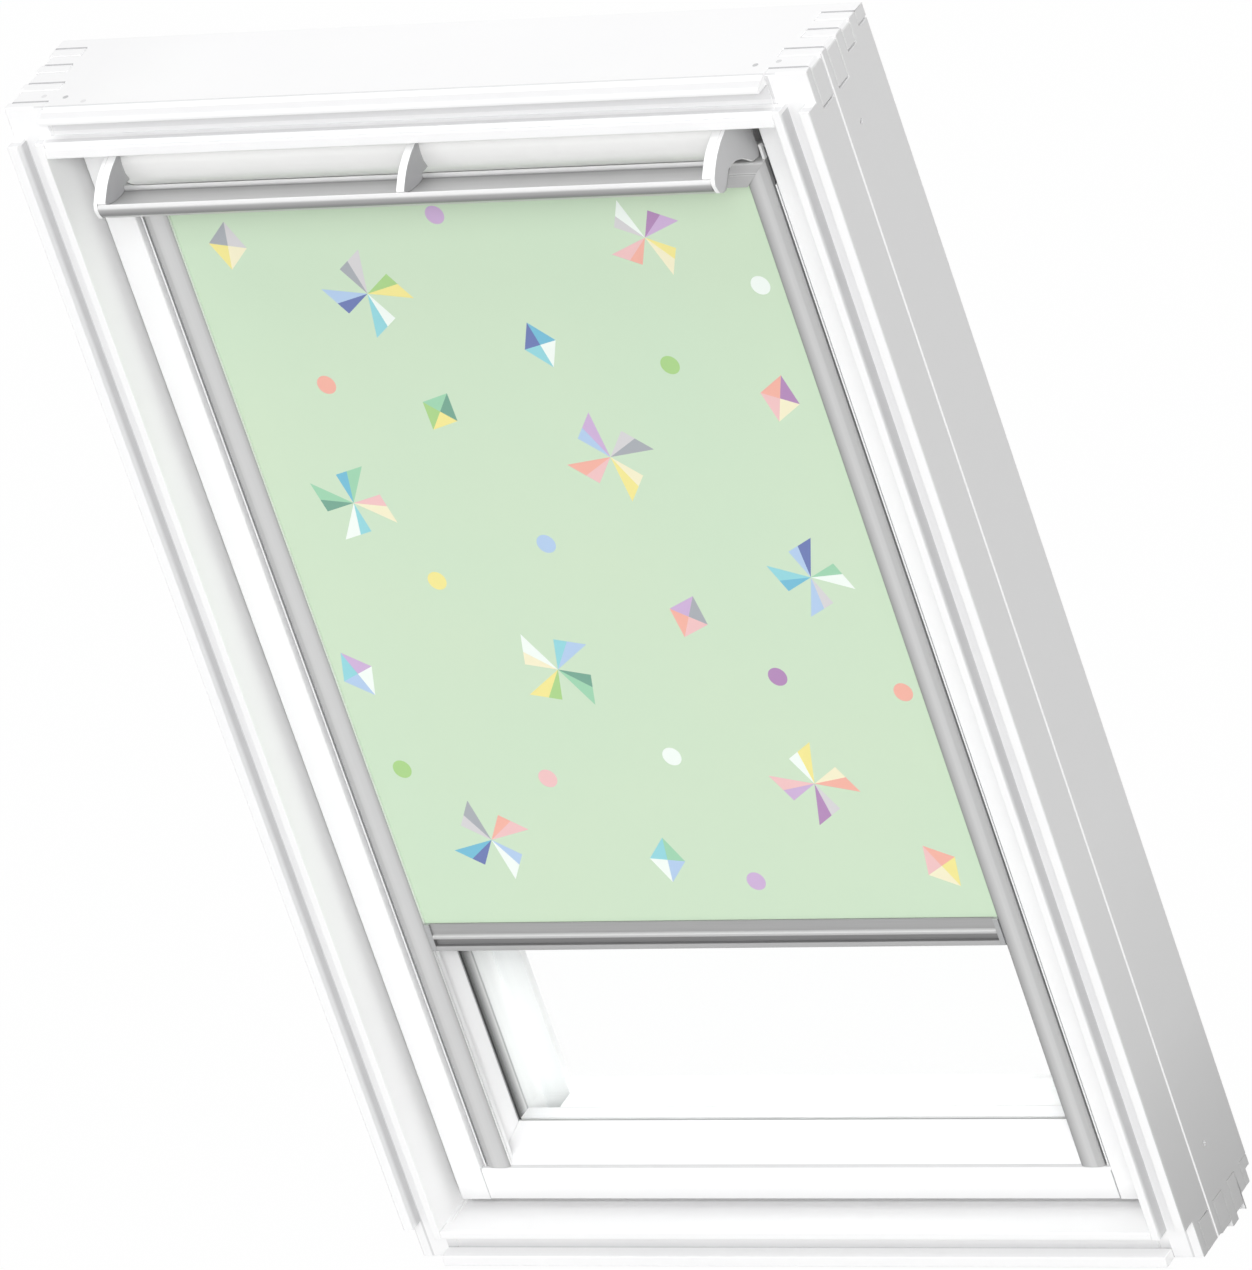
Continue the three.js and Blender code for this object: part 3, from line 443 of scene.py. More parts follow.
# Where the bar's nose, the pull bar's plain ends, the rails' white strip and their foot, painted dark as
# shade, start
NOSE_DEPTH = -29.5
NOSE_TOP = 1107
PULL_BAR_END = 279.8
STRIP_INNER = 287
STRIP_OUTER = 309
STRIP_DEPTH = 39.2
RAIL_FOOT = 307.6
RAIL_FOOT_DEPTH = 43


def bar_tone(metal):
    """Painted highlight on the ridge, painted shade in the hollow behind it and under the nose."""
    _, depth, height = metal.place()
    hollow = metal.ramp(depth, BAR_HOLLOW_SHADES)
    nose = metal.ramp(height, BAR_NOSE_SHADES)
    return metal.mixed((depth < NOSE_DEPTH) * (height < NOSE_TOP), hollow, nose)


def pull_bar_tone(metal):
    """Painted shade in the groove between the bar's flat face, its ridge and its lower lip."""
    across, _, height = metal.place()
    run = metal.ramp(height, PULL_BAR_SHADES)
    return metal.mixed(abs(across) > PULL_BAR_END, run, linear(168, 169, 170))


# Painted shade and highlight across the casing's face, by height
def casing_tone(metal):
    return metal.ramp(metal.place()[2], CASING_SHADES)


def rail_tone(metal):
    """Rounded face with painted shade at both edges and on its outer foot; a white slide strip lines the
    rail's inner wall.
    """
    across, depth, _ = metal.place()
    right = metal.ramp(abs(across), RIGHT_RAIL_SHADES + RAIL_OUTSIDE_SHADES)
    left = metal.ramp(abs(across), LEFT_RAIL_SHADES + RAIL_OUTSIDE_SHADES)
    face = metal.mixed(across > 0, left, right)
    strip = (abs(across) < STRIP_INNER) * (depth > STRIP_DEPTH) + (abs(across) > STRIP_OUTER)
    # Painted shade on the deep part of the rail's outer wall
    foot = (abs(across) > RAIL_FOOT) * (depth > RAIL_FOOT_DEPTH)
    return metal.mixed(strip.clamped(), metal.mixed(foot, face, linear(110, 110, 112)), grey(246))


# Flat sides from this far across, on the right end plate, get a lighter painted shade than the others
LIGHTER_SIDES_FROM = 200


def moulded_white():
    plastic = Finish("moulded_white", linear(246, 246, 245), 0.35)
    colour = plastic.mixed(plastic.noise(20, 2), linear(239, 239, 238), linear(244, 244, 243))
    plastic.feed("Base Color", colour)
    plastic.feed("Roughness", 0.3 + 0.1 * plastic.noise(80, 3))
    plastic.bumped(plastic.noise(1500, 2), 0.1, 0.0001)
    return plastic


def fin_plastic():
    """Moulded white, with painted shade on the fins' flat sides, darker on all but the right end plate."""
    plastic = Finish("fin_plastic", grey(240), 0.4)
    right, _, _ = plastic.faces()
    mottle = plastic.noise(20, 2)
    side = plastic.mixed(mottle, linear(200, 200, 201), linear(207, 207, 208))
    shaded = plastic.mixed(mottle, linear(172, 172, 174), linear(178, 178, 180))
    # Painted shade: darker on the left plate and middle fin, lighter on the right plate
    side = plastic.mixed(plastic.place()[0] > LIGHTER_SIDES_FROM, shaded, side)
    edge = plastic.mixed(mottle, grey(245), grey(250))
    plastic.feed("Base Color", plastic.mixed(abs(right) > 0.7, edge, side))
    plastic.feed("Roughness", 0.35 + 0.15 * plastic.noise(80, 3))
    plastic.bumped(plastic.noise(1500, 2), 0.1, 0.0001)
    return plastic


def plated_steel():
    steel = Finish("plated_steel", linear(190, 192, 194), 0.35, Metallic=0.9)
    fleck = steel.noise(300, 4)
    steel.feed("Base Color", steel.mixed(fleck, linear(178, 180, 182), linear(202, 203, 205)))
    steel.feed("Roughness", 0.25 + 0.2 * fleck)
    steel.bumped(fleck, 0.1, 0.0001)
    return steel


def soft_rubber(name, shade):
    rubber = Finish(name, grey(shade), 0.75)
    dust = rubber.noise(40, 4)
    rubber.feed("Base Color", rubber.mixed(dust, grey(shade - 6), grey(shade + 8)))
    rubber.feed("Roughness", 0.65 + 0.2 * dust)
    rubber.bumped(rubber.noise(2500, 2), 0.2, 0.0001)
    return rubber


def cell_foam():
    foam = Finish("cell_foam", linear(60, 61, 62), 1.0)
    cells = foam.node("ShaderNodeTexVoronoi", {}, {"Vector": foam.here(), "Scale": 900.0})
    foam.feed("Base Color", foam.mixed(cells.clamped(), linear(70, 71, 72), linear(40, 41, 42)))
    foam.bumped(cells, 0.8, 0.0006)
    return foam


def clear_pane():
    """Clear float glass, which also lets the lamps' light through to what lies behind it."""
    pane = Finish("clear_pane", (0.998, 1, 0.999), 0.0, Transmission_Weight=1.0, IOR=1.45)
    pane.feed("Roughness", 0.004 * pane.noise(30, 2))
    lit = pane.node("ShaderNodeLightPath", {}, {}, "Is Shadow Ray")
    clear = pane.node("ShaderNodeBsdfTransparent", {}, {"Color": (0.98, 0.99, 0.985, 1)})
    mix = pane.node("ShaderNodeMixShader", {}, {0: lit, 1: Value(pane, pane.surface.outputs[0]), 2: clear})
    pane.tree.links.new(mix.socket, pane.tree.nodes["Material Output"].inputs["Surface"])
    return pane


# Painted shade on the spacer's side runs by depth, and where they lie
SPACER_SHADES = [(76, 62), (78.5, 92), (82, 140), (86, 192), (89, 226), (90.4, 196), (92, 176)]
SPACER_INNER = 283


def spacer_metal():
    """Painted shade on the sides' runs, darkest towards the room; the top and bottom runs are painted a light
    grey.
    """
    spacer = Finish("spacer_metal", linear(170, 172, 175), 0.4, Metallic=0.2)
    across, depth, _ = spacer.place()
    sides = spacer.ramp(depth, SPACER_SHADES)
    fleck = spacer.noise(400, 2)
    spacer.feed("Base Color", spacer.mixed(abs(across) > SPACER_INNER, linear(244, 244, 245), sides))
    spacer.feed("Roughness", 0.35 + 0.15 * fleck)
    spacer.bumped(fleck, 0.15, 0.0001)
    return spacer


# The blind's print: a scatter of paper windmills, faceted diamonds and dots in pale colours
PALE = {
    "sky": (180, 205, 235), "aqua": (150, 214, 222), "sea": (120, 190, 215), "navy": (112, 126, 180),
    "lemon": (243, 232, 150), "cream": (244, 238, 205), "rose": (240, 196, 196), "salmon": (243, 180, 164),
    "plum": (180, 140, 186), "lilac": (206, 178, 216), "mint": (160, 212, 178), "leaf": (172, 212, 140),
    "pine": (120, 168, 148), "stone": (170, 174, 180), "ash": (214, 212, 214), "white": (242, 250, 244),
}
# Windmills: across, height, reach, tilt in degrees and the colours of their eight blades. Diamonds: across,
# height, half width, half height, tilt and the colours of their four facets. Dots: across, height, colour.
# The first rows of each list are wound up at rest, and come down with the bar.
WINDMILLS = [
    (-136, 1196, 42, 26, ("rose", "lilac", "sky", "aqua", "lemon", "cream", "white", "ash")),
    (104, 1156, 41, -12, ("mint", "leaf", "salmon", "rose", "navy", "sky", "stone", "white")),
    (-118, 968, 44, 8, ("sky", "navy", "aqua", "white", "lemon", "leaf", "ash", "stone")),
    (168, 1012, 40, -22, ("rose", "salmon", "cream", "lemon", "lilac", "plum", "white", "ash")),
    (-205, 762, 42, 30, ("mint", "pine", "white", "aqua", "cream", "rose", "mint", "sea")),
    (62, 800, 45, -8, ("salmon", "rose", "lemon", "cream", "stone", "ash", "lilac", "sky")),
    (215, 676, 41, 18, ("aqua", "sea", "sky", "ash", "white", "mint", "navy", "sky")),
    (-62, 590, 44, -34, ("lemon", "leaf", "mint", "pine", "sky", "aqua", "white", "cream")),
    (150, 470, 43, 12, ("rose", "lilac", "plum", "ash", "salmon", "cream", "lemon", "white")),
    (-188, 418, 42, -14, ("sea", "navy", "white", "sky", "rose", "salmon", "stone", "ash")),
]
DIAMONDS = [
    (-28, 1130, 17, 23, 22, ("lemon", "salmon", "white", "lilac")),
    (238, 1222, 18, 24, -18, ("sea", "aqua", "cream", "sky")),
    (-250, 1118, 17, 23, 12, ("plum", "rose", "ash", "mint")),
    (-238, 1020, 18, 24, 10, ("lemon", "cream", "ash", "stone")),
    (32, 912, 17, 23, -14, ("aqua", "white", "sea", "navy")),
    (244, 852, 18, 24, 20, ("rose", "cream", "plum", "salmon")),
    (-88, 850, 17, 22, 36, ("leaf", "lemon", "pine", "mint")),
    (-262, 590, 18, 24, -24, ("sky", "white", "lilac", "aqua")),
    (84, 640, 18, 23, 28, ("salmon", "rose", "stone", "lilac")),
    (-20, 395, 17, 23, 6, ("white", "sky", "mint", "aqua")),
    (246, 385, 18, 24, -30, ("cream", "lemon", "salmon", "rose")),
]
DOTS = [
    (20, 1232, "leaf"), (228, 1116, "salmon"), (-232, 1262, "lilac"), (-150, 1106, "lemon"),
    (-26, 1042, "lilac"), (262, 962, "white"), (-190, 880, "salmon"), (150, 888, "leaf"),
    (-30, 716, "sky"), (-150, 682, "lemon"), (150, 578, "plum"), (20, 500, "white"),
    (-252, 492, "leaf"), (266, 560, "salmon"), (60, 372, "lilac"), (-110, 480, "rose"),
]
DOT_RADIUS = 9
BLADE_TURN = 1 / 16


def print_over(cloth, ground, shift):
    """The print over the cloth's ground colour, moved up by shift in millimetres."""
    here = cloth.here()

    def local(x, height, wide, high, tilt):
        middle = place(x, FABRIC_DEPTH, height + shift)
        return cloth.node("ShaderNodeMapping", {"vector_type": "TEXTURE"}, {
            "Vector": here, "Location": middle, "Rotation": (0, math.radians(tilt), 0),
            "Scale": (wide * MM, 1, high * MM)})

    def faceted(colour, spot, stops):
        across, _, up = cloth.axes(spot)
        turn = across.sum("ARCTAN2", up, across) / math.tau + 0.5
        facets = cloth.node("ShaderNodeValToRGB", {"steps": "CONSTANT", "stops": stops}, {0: turn})
        alpha = Value(cloth, facets.socket.node.outputs["Alpha"])
        inside = (abs(across) + abs(up)) < 1.0
        return cloth.mixed(inside * alpha, colour, facets)

    colour = ground
    for x, height, reach, tilt, names in WINDMILLS:
        stops = []
        for i, name in enumerate(names):
            start = (i // 2) / 4 + (i % 2) * BLADE_TURN
            stops.append((start, (*linear(*PALE[name]), 1)))
            if i % 2:
                stops.append((start + BLADE_TURN, (*linear(*PALE[name]), 0)))
        colour = faceted(colour, local(x, height, reach, reach, tilt), stops)
    for x, height, wide, high, tilt, names in DIAMONDS:
        stops = [(i / 4, (*linear(*PALE[name]), 1)) for i, name in enumerate(names)]
        colour = faceted(colour, local(x, height, wide, high, tilt), stops)
    for x, height, name in DOTS:
        spot = local(x, height, DOT_RADIUS, DOT_RADIUS, 0)
        across, _, up = cloth.axes(spot)
        colour = cloth.mixed((across * across + up * up) < 1.0, colour, linear(*PALE[name]))
    return colour


def printed_cloth(name, shift):
    """Coated cloth, printed on its front and silvery white on its back."""
    cloth = Finish(name, linear(205, 226, 200), 0.85)
    here = cloth.here()
    tone = cloth.noise(5, 2)
    ground = cloth.mixed(tone, linear(202, 226, 200), linear(209, 227, 200))
    front = print_over(cloth, ground, shift)
    behind = cloth.faces()[1] > 0.5
    cloth.feed("Base Color", cloth.mixed(behind, front, linear(226, 227, 226)))
    thread = cloth.node("ShaderNodeTexWave", {"bands_direction": "X"}, {"Vector": here, "Scale": 420.0})
    weft = cloth.node("ShaderNodeTexWave", {"bands_direction": "Z"}, {"Vector": here, "Scale": 420.0})
    cloth.bumped(thread + weft + 2 * cloth.noise(220, 3), 0.08, 0.0002)
    cloth.feed("Roughness", 0.78 + 0.14 * cloth.noise(90, 3))
    return cloth


frame_paint = painted_timber("frame_paint", frame_tones)
sash_paint = painted_timber("sash_paint", sash_tones)
lacquer = lacquered_sheet()
LONGWAYS = (0.02, 1, 1)
UPRIGHT = (1, 1, 0.02)
bar_metal = satin_aluminium("bar_aluminium", LONGWAYS, bar_tone)
pull_metal = satin_aluminium("pull_bar_aluminium", LONGWAYS, pull_bar_tone)
casing_metal = satin_aluminium("casing_aluminium", LONGWAYS, casing_tone)
rail_metal = satin_aluminium("rail_aluminium", UPRIGHT, rail_tone)
tube_metal = satin_aluminium("tube_aluminium", LONGWAYS)
plastic = moulded_white()
fin_finish = fin_plastic()
steel = plated_steel()
glazing_rubber = soft_rubber("glazing_rubber", 176)
pale_rubber = soft_rubber("pale_rubber", 190)
foam = cell_foam()
pane = clear_pane()
spacer = spacer_metal()
cloth_front = printed_cloth("printed_cloth", 0)
cloth_rest = printed_cloth("printed_cloth_above", -FABRIC_DROP)

BODY_OF = {name: body for body, members in frame["record"]["behaviour"]["bodies"].items() for name in members}


# Meshes
SMOOTH_UNDER = math.radians(28)
EASED_OVER = math.radians(40)
FLAT_UNDER = math.radians(0.5)
SAME_POINT = 0.01
NEAR = 0.1
LINE_BEFORE = 1.5
LINE_BEHIND = 3
# A CAD edge is eased where it is longer, and its faces wider, than these times the easing
LONG_EDGE = 3
WIDE_FACE = 2.2
TIMBER_EDGE = 0.7


def added(name, data):
    """A new object in the scene."""
    made = bpy.data.objects.new(name, data)
    bpy.context.scene.collection.objects.link(made)
    return made


def coat(mesh, finish):
    mesh.materials.clear()
    mesh.materials.append(finish.material)


def mesh_of(name, build):
    mesh = bpy.data.meshes.new(name)
    build.to_mesh(mesh)
    build.free()
    return mesh


def smooth_line(points, steps=6):
    """More points on a smooth curve through the given ones."""
    line = []
    for i in range(len(points) - 1):
        p = [Vector(points[max(0, min(len(points) - 1, i + k))]) for k in (-1, 0, 1, 2)]
        for k in range(steps):
            t = k / steps
            line.append(
                0.5 * (2 * p[1] + (p[2] - p[0]) * t + (2 * p[0] - 5 * p[1] + 4 * p[2] - p[3]) * t * t
                       + (3 * p[1] - p[0] - 3 * p[2] + p[3]) * t ** 3))
    line.append(Vector(points[-1]))
    return [tuple(point) for point in line]


def eased(corners, steps=5):
    """Rounds an outline's corners; a corner is (a, b) or (a, b, radius)."""
    points = []
    for i, corner in enumerate(corners):
        at = Vector(corner[:2])
        if len(corner) == 2:
            points.append(tuple(at))
            continue
        before = Vector(corners[i - 1][:2]) - at
        after = Vector(corners[(i + 1) % len(corners)][:2]) - at
        run = corner[2] / math.tan(before.angle(after) / 2)
        start = at + before.normalized() * run
        end = at + after.normalized() * run
        for k in range(steps + 1):
            t = k / steps
            points.append(tuple(start * (1 - t) ** 2 + at * 2 * t * (1 - t) + end * t * t))
    return points


def bars_of(name, runs, finish, body, replaced=(), edge=0.0):
    """A piece made of outlines run straight: each run is (outline, start, end, axis).

    An end is a length, or a function that gives it for each point of the outline (a mitre).
    """
    build = bmesh.new()
    for outline, start, end, axis in runs:
        rings = []
        for stop in (start, end):
            ring = []
            for a, b in outline:
                run = stop(a, b) if callable(stop) else stop
                ring.append(build.verts.new(place(run, a, b) if axis == "x" else place(a, b, run)))
            rings.append(ring)
        count = len(outline)
        build.faces.new(rings[0])
        build.faces.new(rings[1][::-1])
        for i in range(count):
            j = (i + 1) % count
            build.faces.new((rings[0][i], rings[1][i], rings[1][j], rings[0][j]))
    bmesh.ops.recalc_face_normals(build, faces=build.faces)
    finished(name, mesh_of(name, build), finish, body, replaced, edge)


def finished(name, mesh, finish, body, replaced=(), edge=0.0, weighted=False):
    """Puts a mesh in the scene; edge is its easing, kept to weighted edges where weighted is set."""
    coat(mesh, finish)
    mesh.shade_smooth()
    mesh.set_sharp_from_angle(angle=SMOOTH_UNDER)
    piece = added(name, mesh)
    if edge:
        bevel = piece.modifiers.new("eased_edges", "BEVEL")
        bevel.width = edge * MM
        bevel.segments = 2
        bevel.limit_method = "WEIGHT" if weighted else "ANGLE"
        bevel.angle_limit = EASED_OVER
        bevel.harden_normals = True
        bevel.use_clamp_overlap = False
    if weighted:
        even = piece.modifiers.new("even_faces", "WEIGHTED_NORMAL")
        even.mode = "FACE_AREA"
        even.keep_sharp = True
    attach(piece, body)
    if replaced:
        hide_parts(*replaced)
    return piece


def face_width(face, edge):
    """How far a face reaches from one of its edges."""
    along = (edge.verts[1].co - edge.verts[0].co).normalized()
    start = edge.verts[0].co
    return max(((v.co - start) - along * (v.co - start).dot(along)).length for v in face.verts)


def on_side_line(point):
    """Whether a point of the frame lies on the line along its sides."""
    depth = point.y / MM + RIB_MIDDLE
    beside = abs(point.x) / MM > OUTER_HALF - LINE_DEPTH - NEAR
    return beside and LINE_FLOOR - LINE_BEFORE < depth < LINE_FLOOR + LINE_BEHIND


def reshaped(build):
    """Opens the frame's side line, and splays the sash's reveal."""
    for vert in build.verts:
        across, depth = abs(vert.co.x) / MM, vert.co.y / MM + RIB_MIDDLE
        if abs(across - OUTER_HALF + LINE_DEPTH) < 0.05 and abs(depth - LINE_FLOOR) < 0.05:
            vert.co.y = place(0, LINE_FLOOR_TO, 0).y
        if abs(across - REVEAL_INNER) < 0.3 and depth < REVEAL_BACK - NEAR:
            vert.co.x *= 1 + REVEAL_SPLAY * (REVEAL_BACK - depth) / across


def softened(names, finish, edge):
    """Puts a copy in place of each CAD node, with its long sharp edges eased where both faces are wide."""
    back = place(0, BACK_EDGE, 0).y
    for name in names:
        build = bmesh.new()
        build.from_mesh(nodes[name].data)
        bmesh.ops.remove_doubles(build, verts=build.verts, dist=SAME_POINT * MM)
        reshaped(build)
        bmesh.ops.dissolve_limit(build, angle_limit=FLAT_UNDER, verts=build.verts, edges=build.edges)
        weight = build.edges.layers.float.new("bevel_weight_edge")
        for line in build.edges:
            if len(line.link_faces) != 2 or line.calc_length() < LONG_EDGE * edge * MM:
                continue
            if all(on_side_line(vert.co) or vert.co.y > back for vert in line.verts):
                continue
            wide = min(face_width(face, line) for face in line.link_faces) > WIDE_FACE * edge * MM
            if wide and line.calc_face_angle() > EASED_OVER:
                line[weight] = 1
        mesh = mesh_of(name + "_eased", build)
        finished(mesh.name, mesh, finish, BODY_OF[name], [name], edge, weighted=True)


def pair(name, make):
    """Makes the right-hand piece, then the left-hand one with x turned over."""
    for side, sign in (("right", 1), ("left", -1)):
        make(name + "_" + side, sign, side)


def round_hinge(shares, reach, lift=0):
    """Points round the flap's hinge, from shares of a reach."""
    return [(HINGE_DEPTH + a * reach, HINGE_HEIGHT + b * reach + lift) for a, b in shares]


# Control bar and vent flap, as shares of their reach from the hinge
FLAP_SHARES = [
    (-0.78, 0.5), (-0.84, 0.3), (-0.875, 0.1), (-0.865, -0.14), (-0.78, -0.36), (-0.62, -0.57),
    (-0.42, -0.74), (-0.22, -0.86), (-0.121, -0.88)]
FLAP_INSIDE_SHARE = 0.92
BAR_TOP = [(-0.966, -0.142), (-0.89, -0.182), (-0.759, -0.215), (-0.62, -0.229), (-0.538, -0.223)]
BAR_LIP = [(-0.526, -0.218), (-0.516, -0.17), (-0.494, -0.17), (-0.491, -0.232)]
BAR_UNDER = [
    (-0.51, -0.25), (-0.552, -0.275), (-0.717, -0.407), (-0.77, -0.414), (-0.828, -0.4), (-0.979, -0.283),
    (-0.999, -0.205), (-0.99, -0.165)]
FIN_FRONT = [(-0.975, -0.13), (-0.91, -0.06), (-0.79, 0.045), (-0.634, 0.135), (-0.49, 0.19), (-0.39, 0.222)]
FIN_TOP_SHARE = 0.2
FIN_LIFT = 0.2
FIN_GAP = 0.3
# Foot of a fin over the bar's lip, in millimetres from the hinge
FIN_FOOT = [(-35.6, -12), (-37.7, -12), (-38.4, -15.6)]
# Outline of the end plates behind the fin, as depth, height and radius
PLATE_BACK = [
    (30, 1133.4), (41.5, 1128, 4), (45.5, 1092, 3), (42, 1085, 1.5), (31.5, 1086.8), (25, 1092.6),
    (19, 1096.6), (13, 1099.6), (7, 1101.8), (-6.5, 1102.4, 3), (-11, 1098.6, 2), (-16.5, 1093.9, 3),
    (-24, 1090.6, 3), (-29.5, 1093.4)]
# Easing of the flap and plates, and of the middle fin and pull bar
FLAP_EDGE = 0.4
FIN_EDGE = 0.5
PULL_BAR_EDGE = 0.3


def vent_flap():
    outer = smooth_line(round_hinge(FLAP_SHARES, FLAP_REACH))
    inner = smooth_line(round_hinge(FLAP_SHARES, FLAP_REACH * FLAP_INSIDE_SHARE))
    bars_of("flap_cover", [(outer + inner[::-1], -FLAP_HALF, FLAP_HALF, "x")], plastic, "control_bar",
            ["vent_flap"], FLAP_EDGE)


def control_bar():
    top = smooth_line(round_hinge(BAR_TOP, BAR_REACH))
    lip = eased([(*spot, 0.4) for spot in round_hinge(BAR_LIP, BAR_REACH)])
    under = smooth_line(round_hinge(BAR_UNDER, BAR_REACH))
    bars_of("grip_bar", [(top + lip + under, -BAR_HALF, BAR_HALF, "x")], bar_metal, "control_bar",
            ["control_bar"])


def fin_outline():
    """From the bar's top round the fin's front to the flap, and back over the bar's lip."""
    under = smooth_line(round_hinge(BAR_TOP, BAR_REACH, FIN_LIFT))[::-1]
    front = smooth_line(round_hinge(FIN_FRONT, BAR_REACH))[1:]
    flap = round_hinge(FLAP_SHARES, FLAP_REACH)
    back = [(flap[1][0] - FIN_GAP, HINGE_HEIGHT + FIN_TOP_SHARE * BAR_REACH)]
    back += [(depth - FIN_GAP, height) for depth, height in flap[2:5]]
    return under + front + back + round_hinge(FIN_FOOT, 1)


def fins():
    outline = fin_outline()
    bars_of("middle_fin", [(outline, -FIN_WIDTH / 2, FIN_WIDTH / 2, "x")], fin_finish, "control_bar",
            ["flap_fin_middle"], FIN_EDGE)
    front = smooth_line(round_hinge(FIN_FRONT, BAR_REACH))
    nose = smooth_line(round_hinge(BAR_UNDER[-3:], BAR_REACH))
    plate = front + eased(PLATE_BACK) + nose

    def end(name, sign, side):
        runs = [(plate, sign * END_INNER, sign * END_OUTER, "x"),
                (outline, sign * FIN_INNER, sign * END_INNER, "x")]
        bars_of(name, runs, fin_finish, "control_bar", ["flap_end_" + side], FLAP_EDGE)

    pair("flap_end_plate", end)


# Rails, casing and bottom bar
RAIL_CROWN = 2.4
RAIL_STEPS = 12
RAIL_WALL = 1.4
RAIL_SLOT = 0.4
RAIL_FOOT_WALL = 1
FLANGE_INNER = RAIL_OUTER + 2
FLANGE_OUTER = RAIL_OUTER + 3.4
FLANGE_FRONT = RAIL_FRONT + 2.5
HEAD_WALL = 1.3
CASING_WALL = 1.2
CASING_LINE = 1071.4
CASING_LINE_WIDTH = 1.2
CASING_LINE_DEPTH = 0.6
CASING_FOOT_BACK = 1061
TAB_INNER = 305.6
TAB_HIGH = 1097
TAB_FRONT = 40
TAB_BACK = 43.5
PULL_BAR_FACE = 40
PULL_BAR_BACK = 46
PULL_BAR_STAND = 2.5
PULL_BAR_PLAIN = 5
PULL_BAR_GAP = 0.3
# The pull bar's face: share of its height, share of its stand and radius
PULL_BAR_OUTLINE = [
    (0, 0.8, 0.8), (0.19, 0.8, 0.5), (0.22, -0.4, 0.3), (0.43, -0.4, 0.3), (0.46, 0.85, 0.3), (0.5, 1, 0.5),
    (0.56, 1, 0.6), (0.62, 0.1, 0.8), (1, 0, 0.6)]


def rail_front():
    """The rails' rounded face, from the inner to the outer edge."""
    middle = (RAIL_INNER + RAIL_OUTER) / 2
    half = (RAIL_OUTER - RAIL_INNER) / 2
    shares = [k / RAIL_STEPS for k in range(-RAIL_STEPS, RAIL_STEPS + 1)]
    return [(middle + half * s, RAIL_FRONT + RAIL_CROWN * (0.6 * s ** 2 + 0.4 * s ** 8)) for s in shares]


def rail_pair(name, outline, start, end, replaced):
    """A run of rail metal on each side of the blind."""
    def run(name, sign, side):
        turned = [(x * sign, depth) for x, depth in outline]
        bars_of(name, [(turned, start, end, "z")], rail_metal, "sash", [replaced + side])

    pair(name, run)


def blind_rails():
    wall = RAIL_WALL
    slot = RAIL_SLOT
    foot = RAIL_BACK - RAIL_FOOT_WALL
    outline = rail_front() + [
        (RAIL_OUTER, foot), (FLANGE_INNER, foot), (FLANGE_INNER, FLANGE_FRONT), (FLANGE_OUTER, FLANGE_FRONT),
        (FLANGE_OUTER, RAIL_BACK), (RAIL_INNER, RAIL_BACK), (RAIL_INNER, FABRIC_DEPTH + slot),
        (RAIL_INNER + wall, FABRIC_DEPTH + slot), (RAIL_INNER + wall, RAIL_BACK - wall),
        (RAIL_OUTER - wall, RAIL_BACK - wall), (RAIL_OUTER - wall, RAIL_FRONT + 3 * wall),
        (RAIL_INNER + wall, RAIL_FRONT + 3 * wall), (RAIL_INNER + wall, FABRIC_DEPTH - slot),
        (RAIL_INNER, FABRIC_DEPTH - slot)]
    rail_pair("side_rail", outline, RAIL_LOW, RAIL_HIGH, "blind_rail_")


def bottom_bar():
    """The bar that pulls the cloth down, with its face left plain near both ends."""
    height = BAR_LINE - BAR_FOOT
    outline = [(PULL_BAR_FACE - out * PULL_BAR_STAND, BAR_FOOT + up * height, radius)
               for up, out, radius in PULL_BAR_OUTLINE]
    back = [(PULL_BAR_BACK, BAR_LINE, 1.2), (PULL_BAR_BACK, BAR_FOOT, 1.2)]
    plain = eased([(PULL_BAR_FACE - 2, BAR_FOOT, 0.8), (PULL_BAR_FACE - 2.3, BAR_LINE, 0.8)] + back)
    end = RAIL_INNER - PULL_BAR_GAP
    shaped = end - PULL_BAR_PLAIN
    runs = [(eased(outline + back), -shaped, shaped, "x"), (plain, -end, -shaped, "x"),
            (plain, shaped, end, "x")]
    bars_of("pull_bar", runs, pull_metal, "blind_bar", ["blind_bar"], PULL_BAR_EDGE)


# The casing's ends and the rail heads meet on a mitre, from the rails' inner edge up to their outer one
MITRE_SLOPE = (CASING_HIGH - CASING_LOW) / (RAIL_OUTER - RAIL_INNER)
MITRE_LEAST = 0.1


def mitre_right(_, height):
    return RAIL_INNER + (height - CASING_LOW) / MITRE_SLOPE


def mitre_left(_, height):
    return -mitre_right(_, height)


def mitre_height(across, _):
    return CASING_LOW + max(MITRE_LEAST, (abs(across) - RAIL_INNER) * MITRE_SLOPE)


def casing():
    front, back, wall = CASING_FRONT, CASING_BACK, CASING_WALL
    line, line_top, line_floor = CASING_LINE, CASING_LINE + CASING_LINE_WIDTH, front + CASING_LINE_DEPTH
    outline = eased([
        (front, CASING_LOW, 0.5), (front, line, 0.3), (line_floor, line), (line_floor, line_top),
        (front, line_top, 0.3), (front, CASING_HIGH, 2.2), (back, CASING_HIGH, 1.6),
        (back, CASING_FOOT_BACK), (back - wall, CASING_FOOT_BACK), (back - wall, CASING_HIGH - wall),
        (front + wall, CASING_HIGH - wall), (front + wall, CASING_LOW)])
    bars_of("head_casing", [(outline, mitre_left, mitre_right, "x")], casing_metal, "sash", ["blind_casing"])


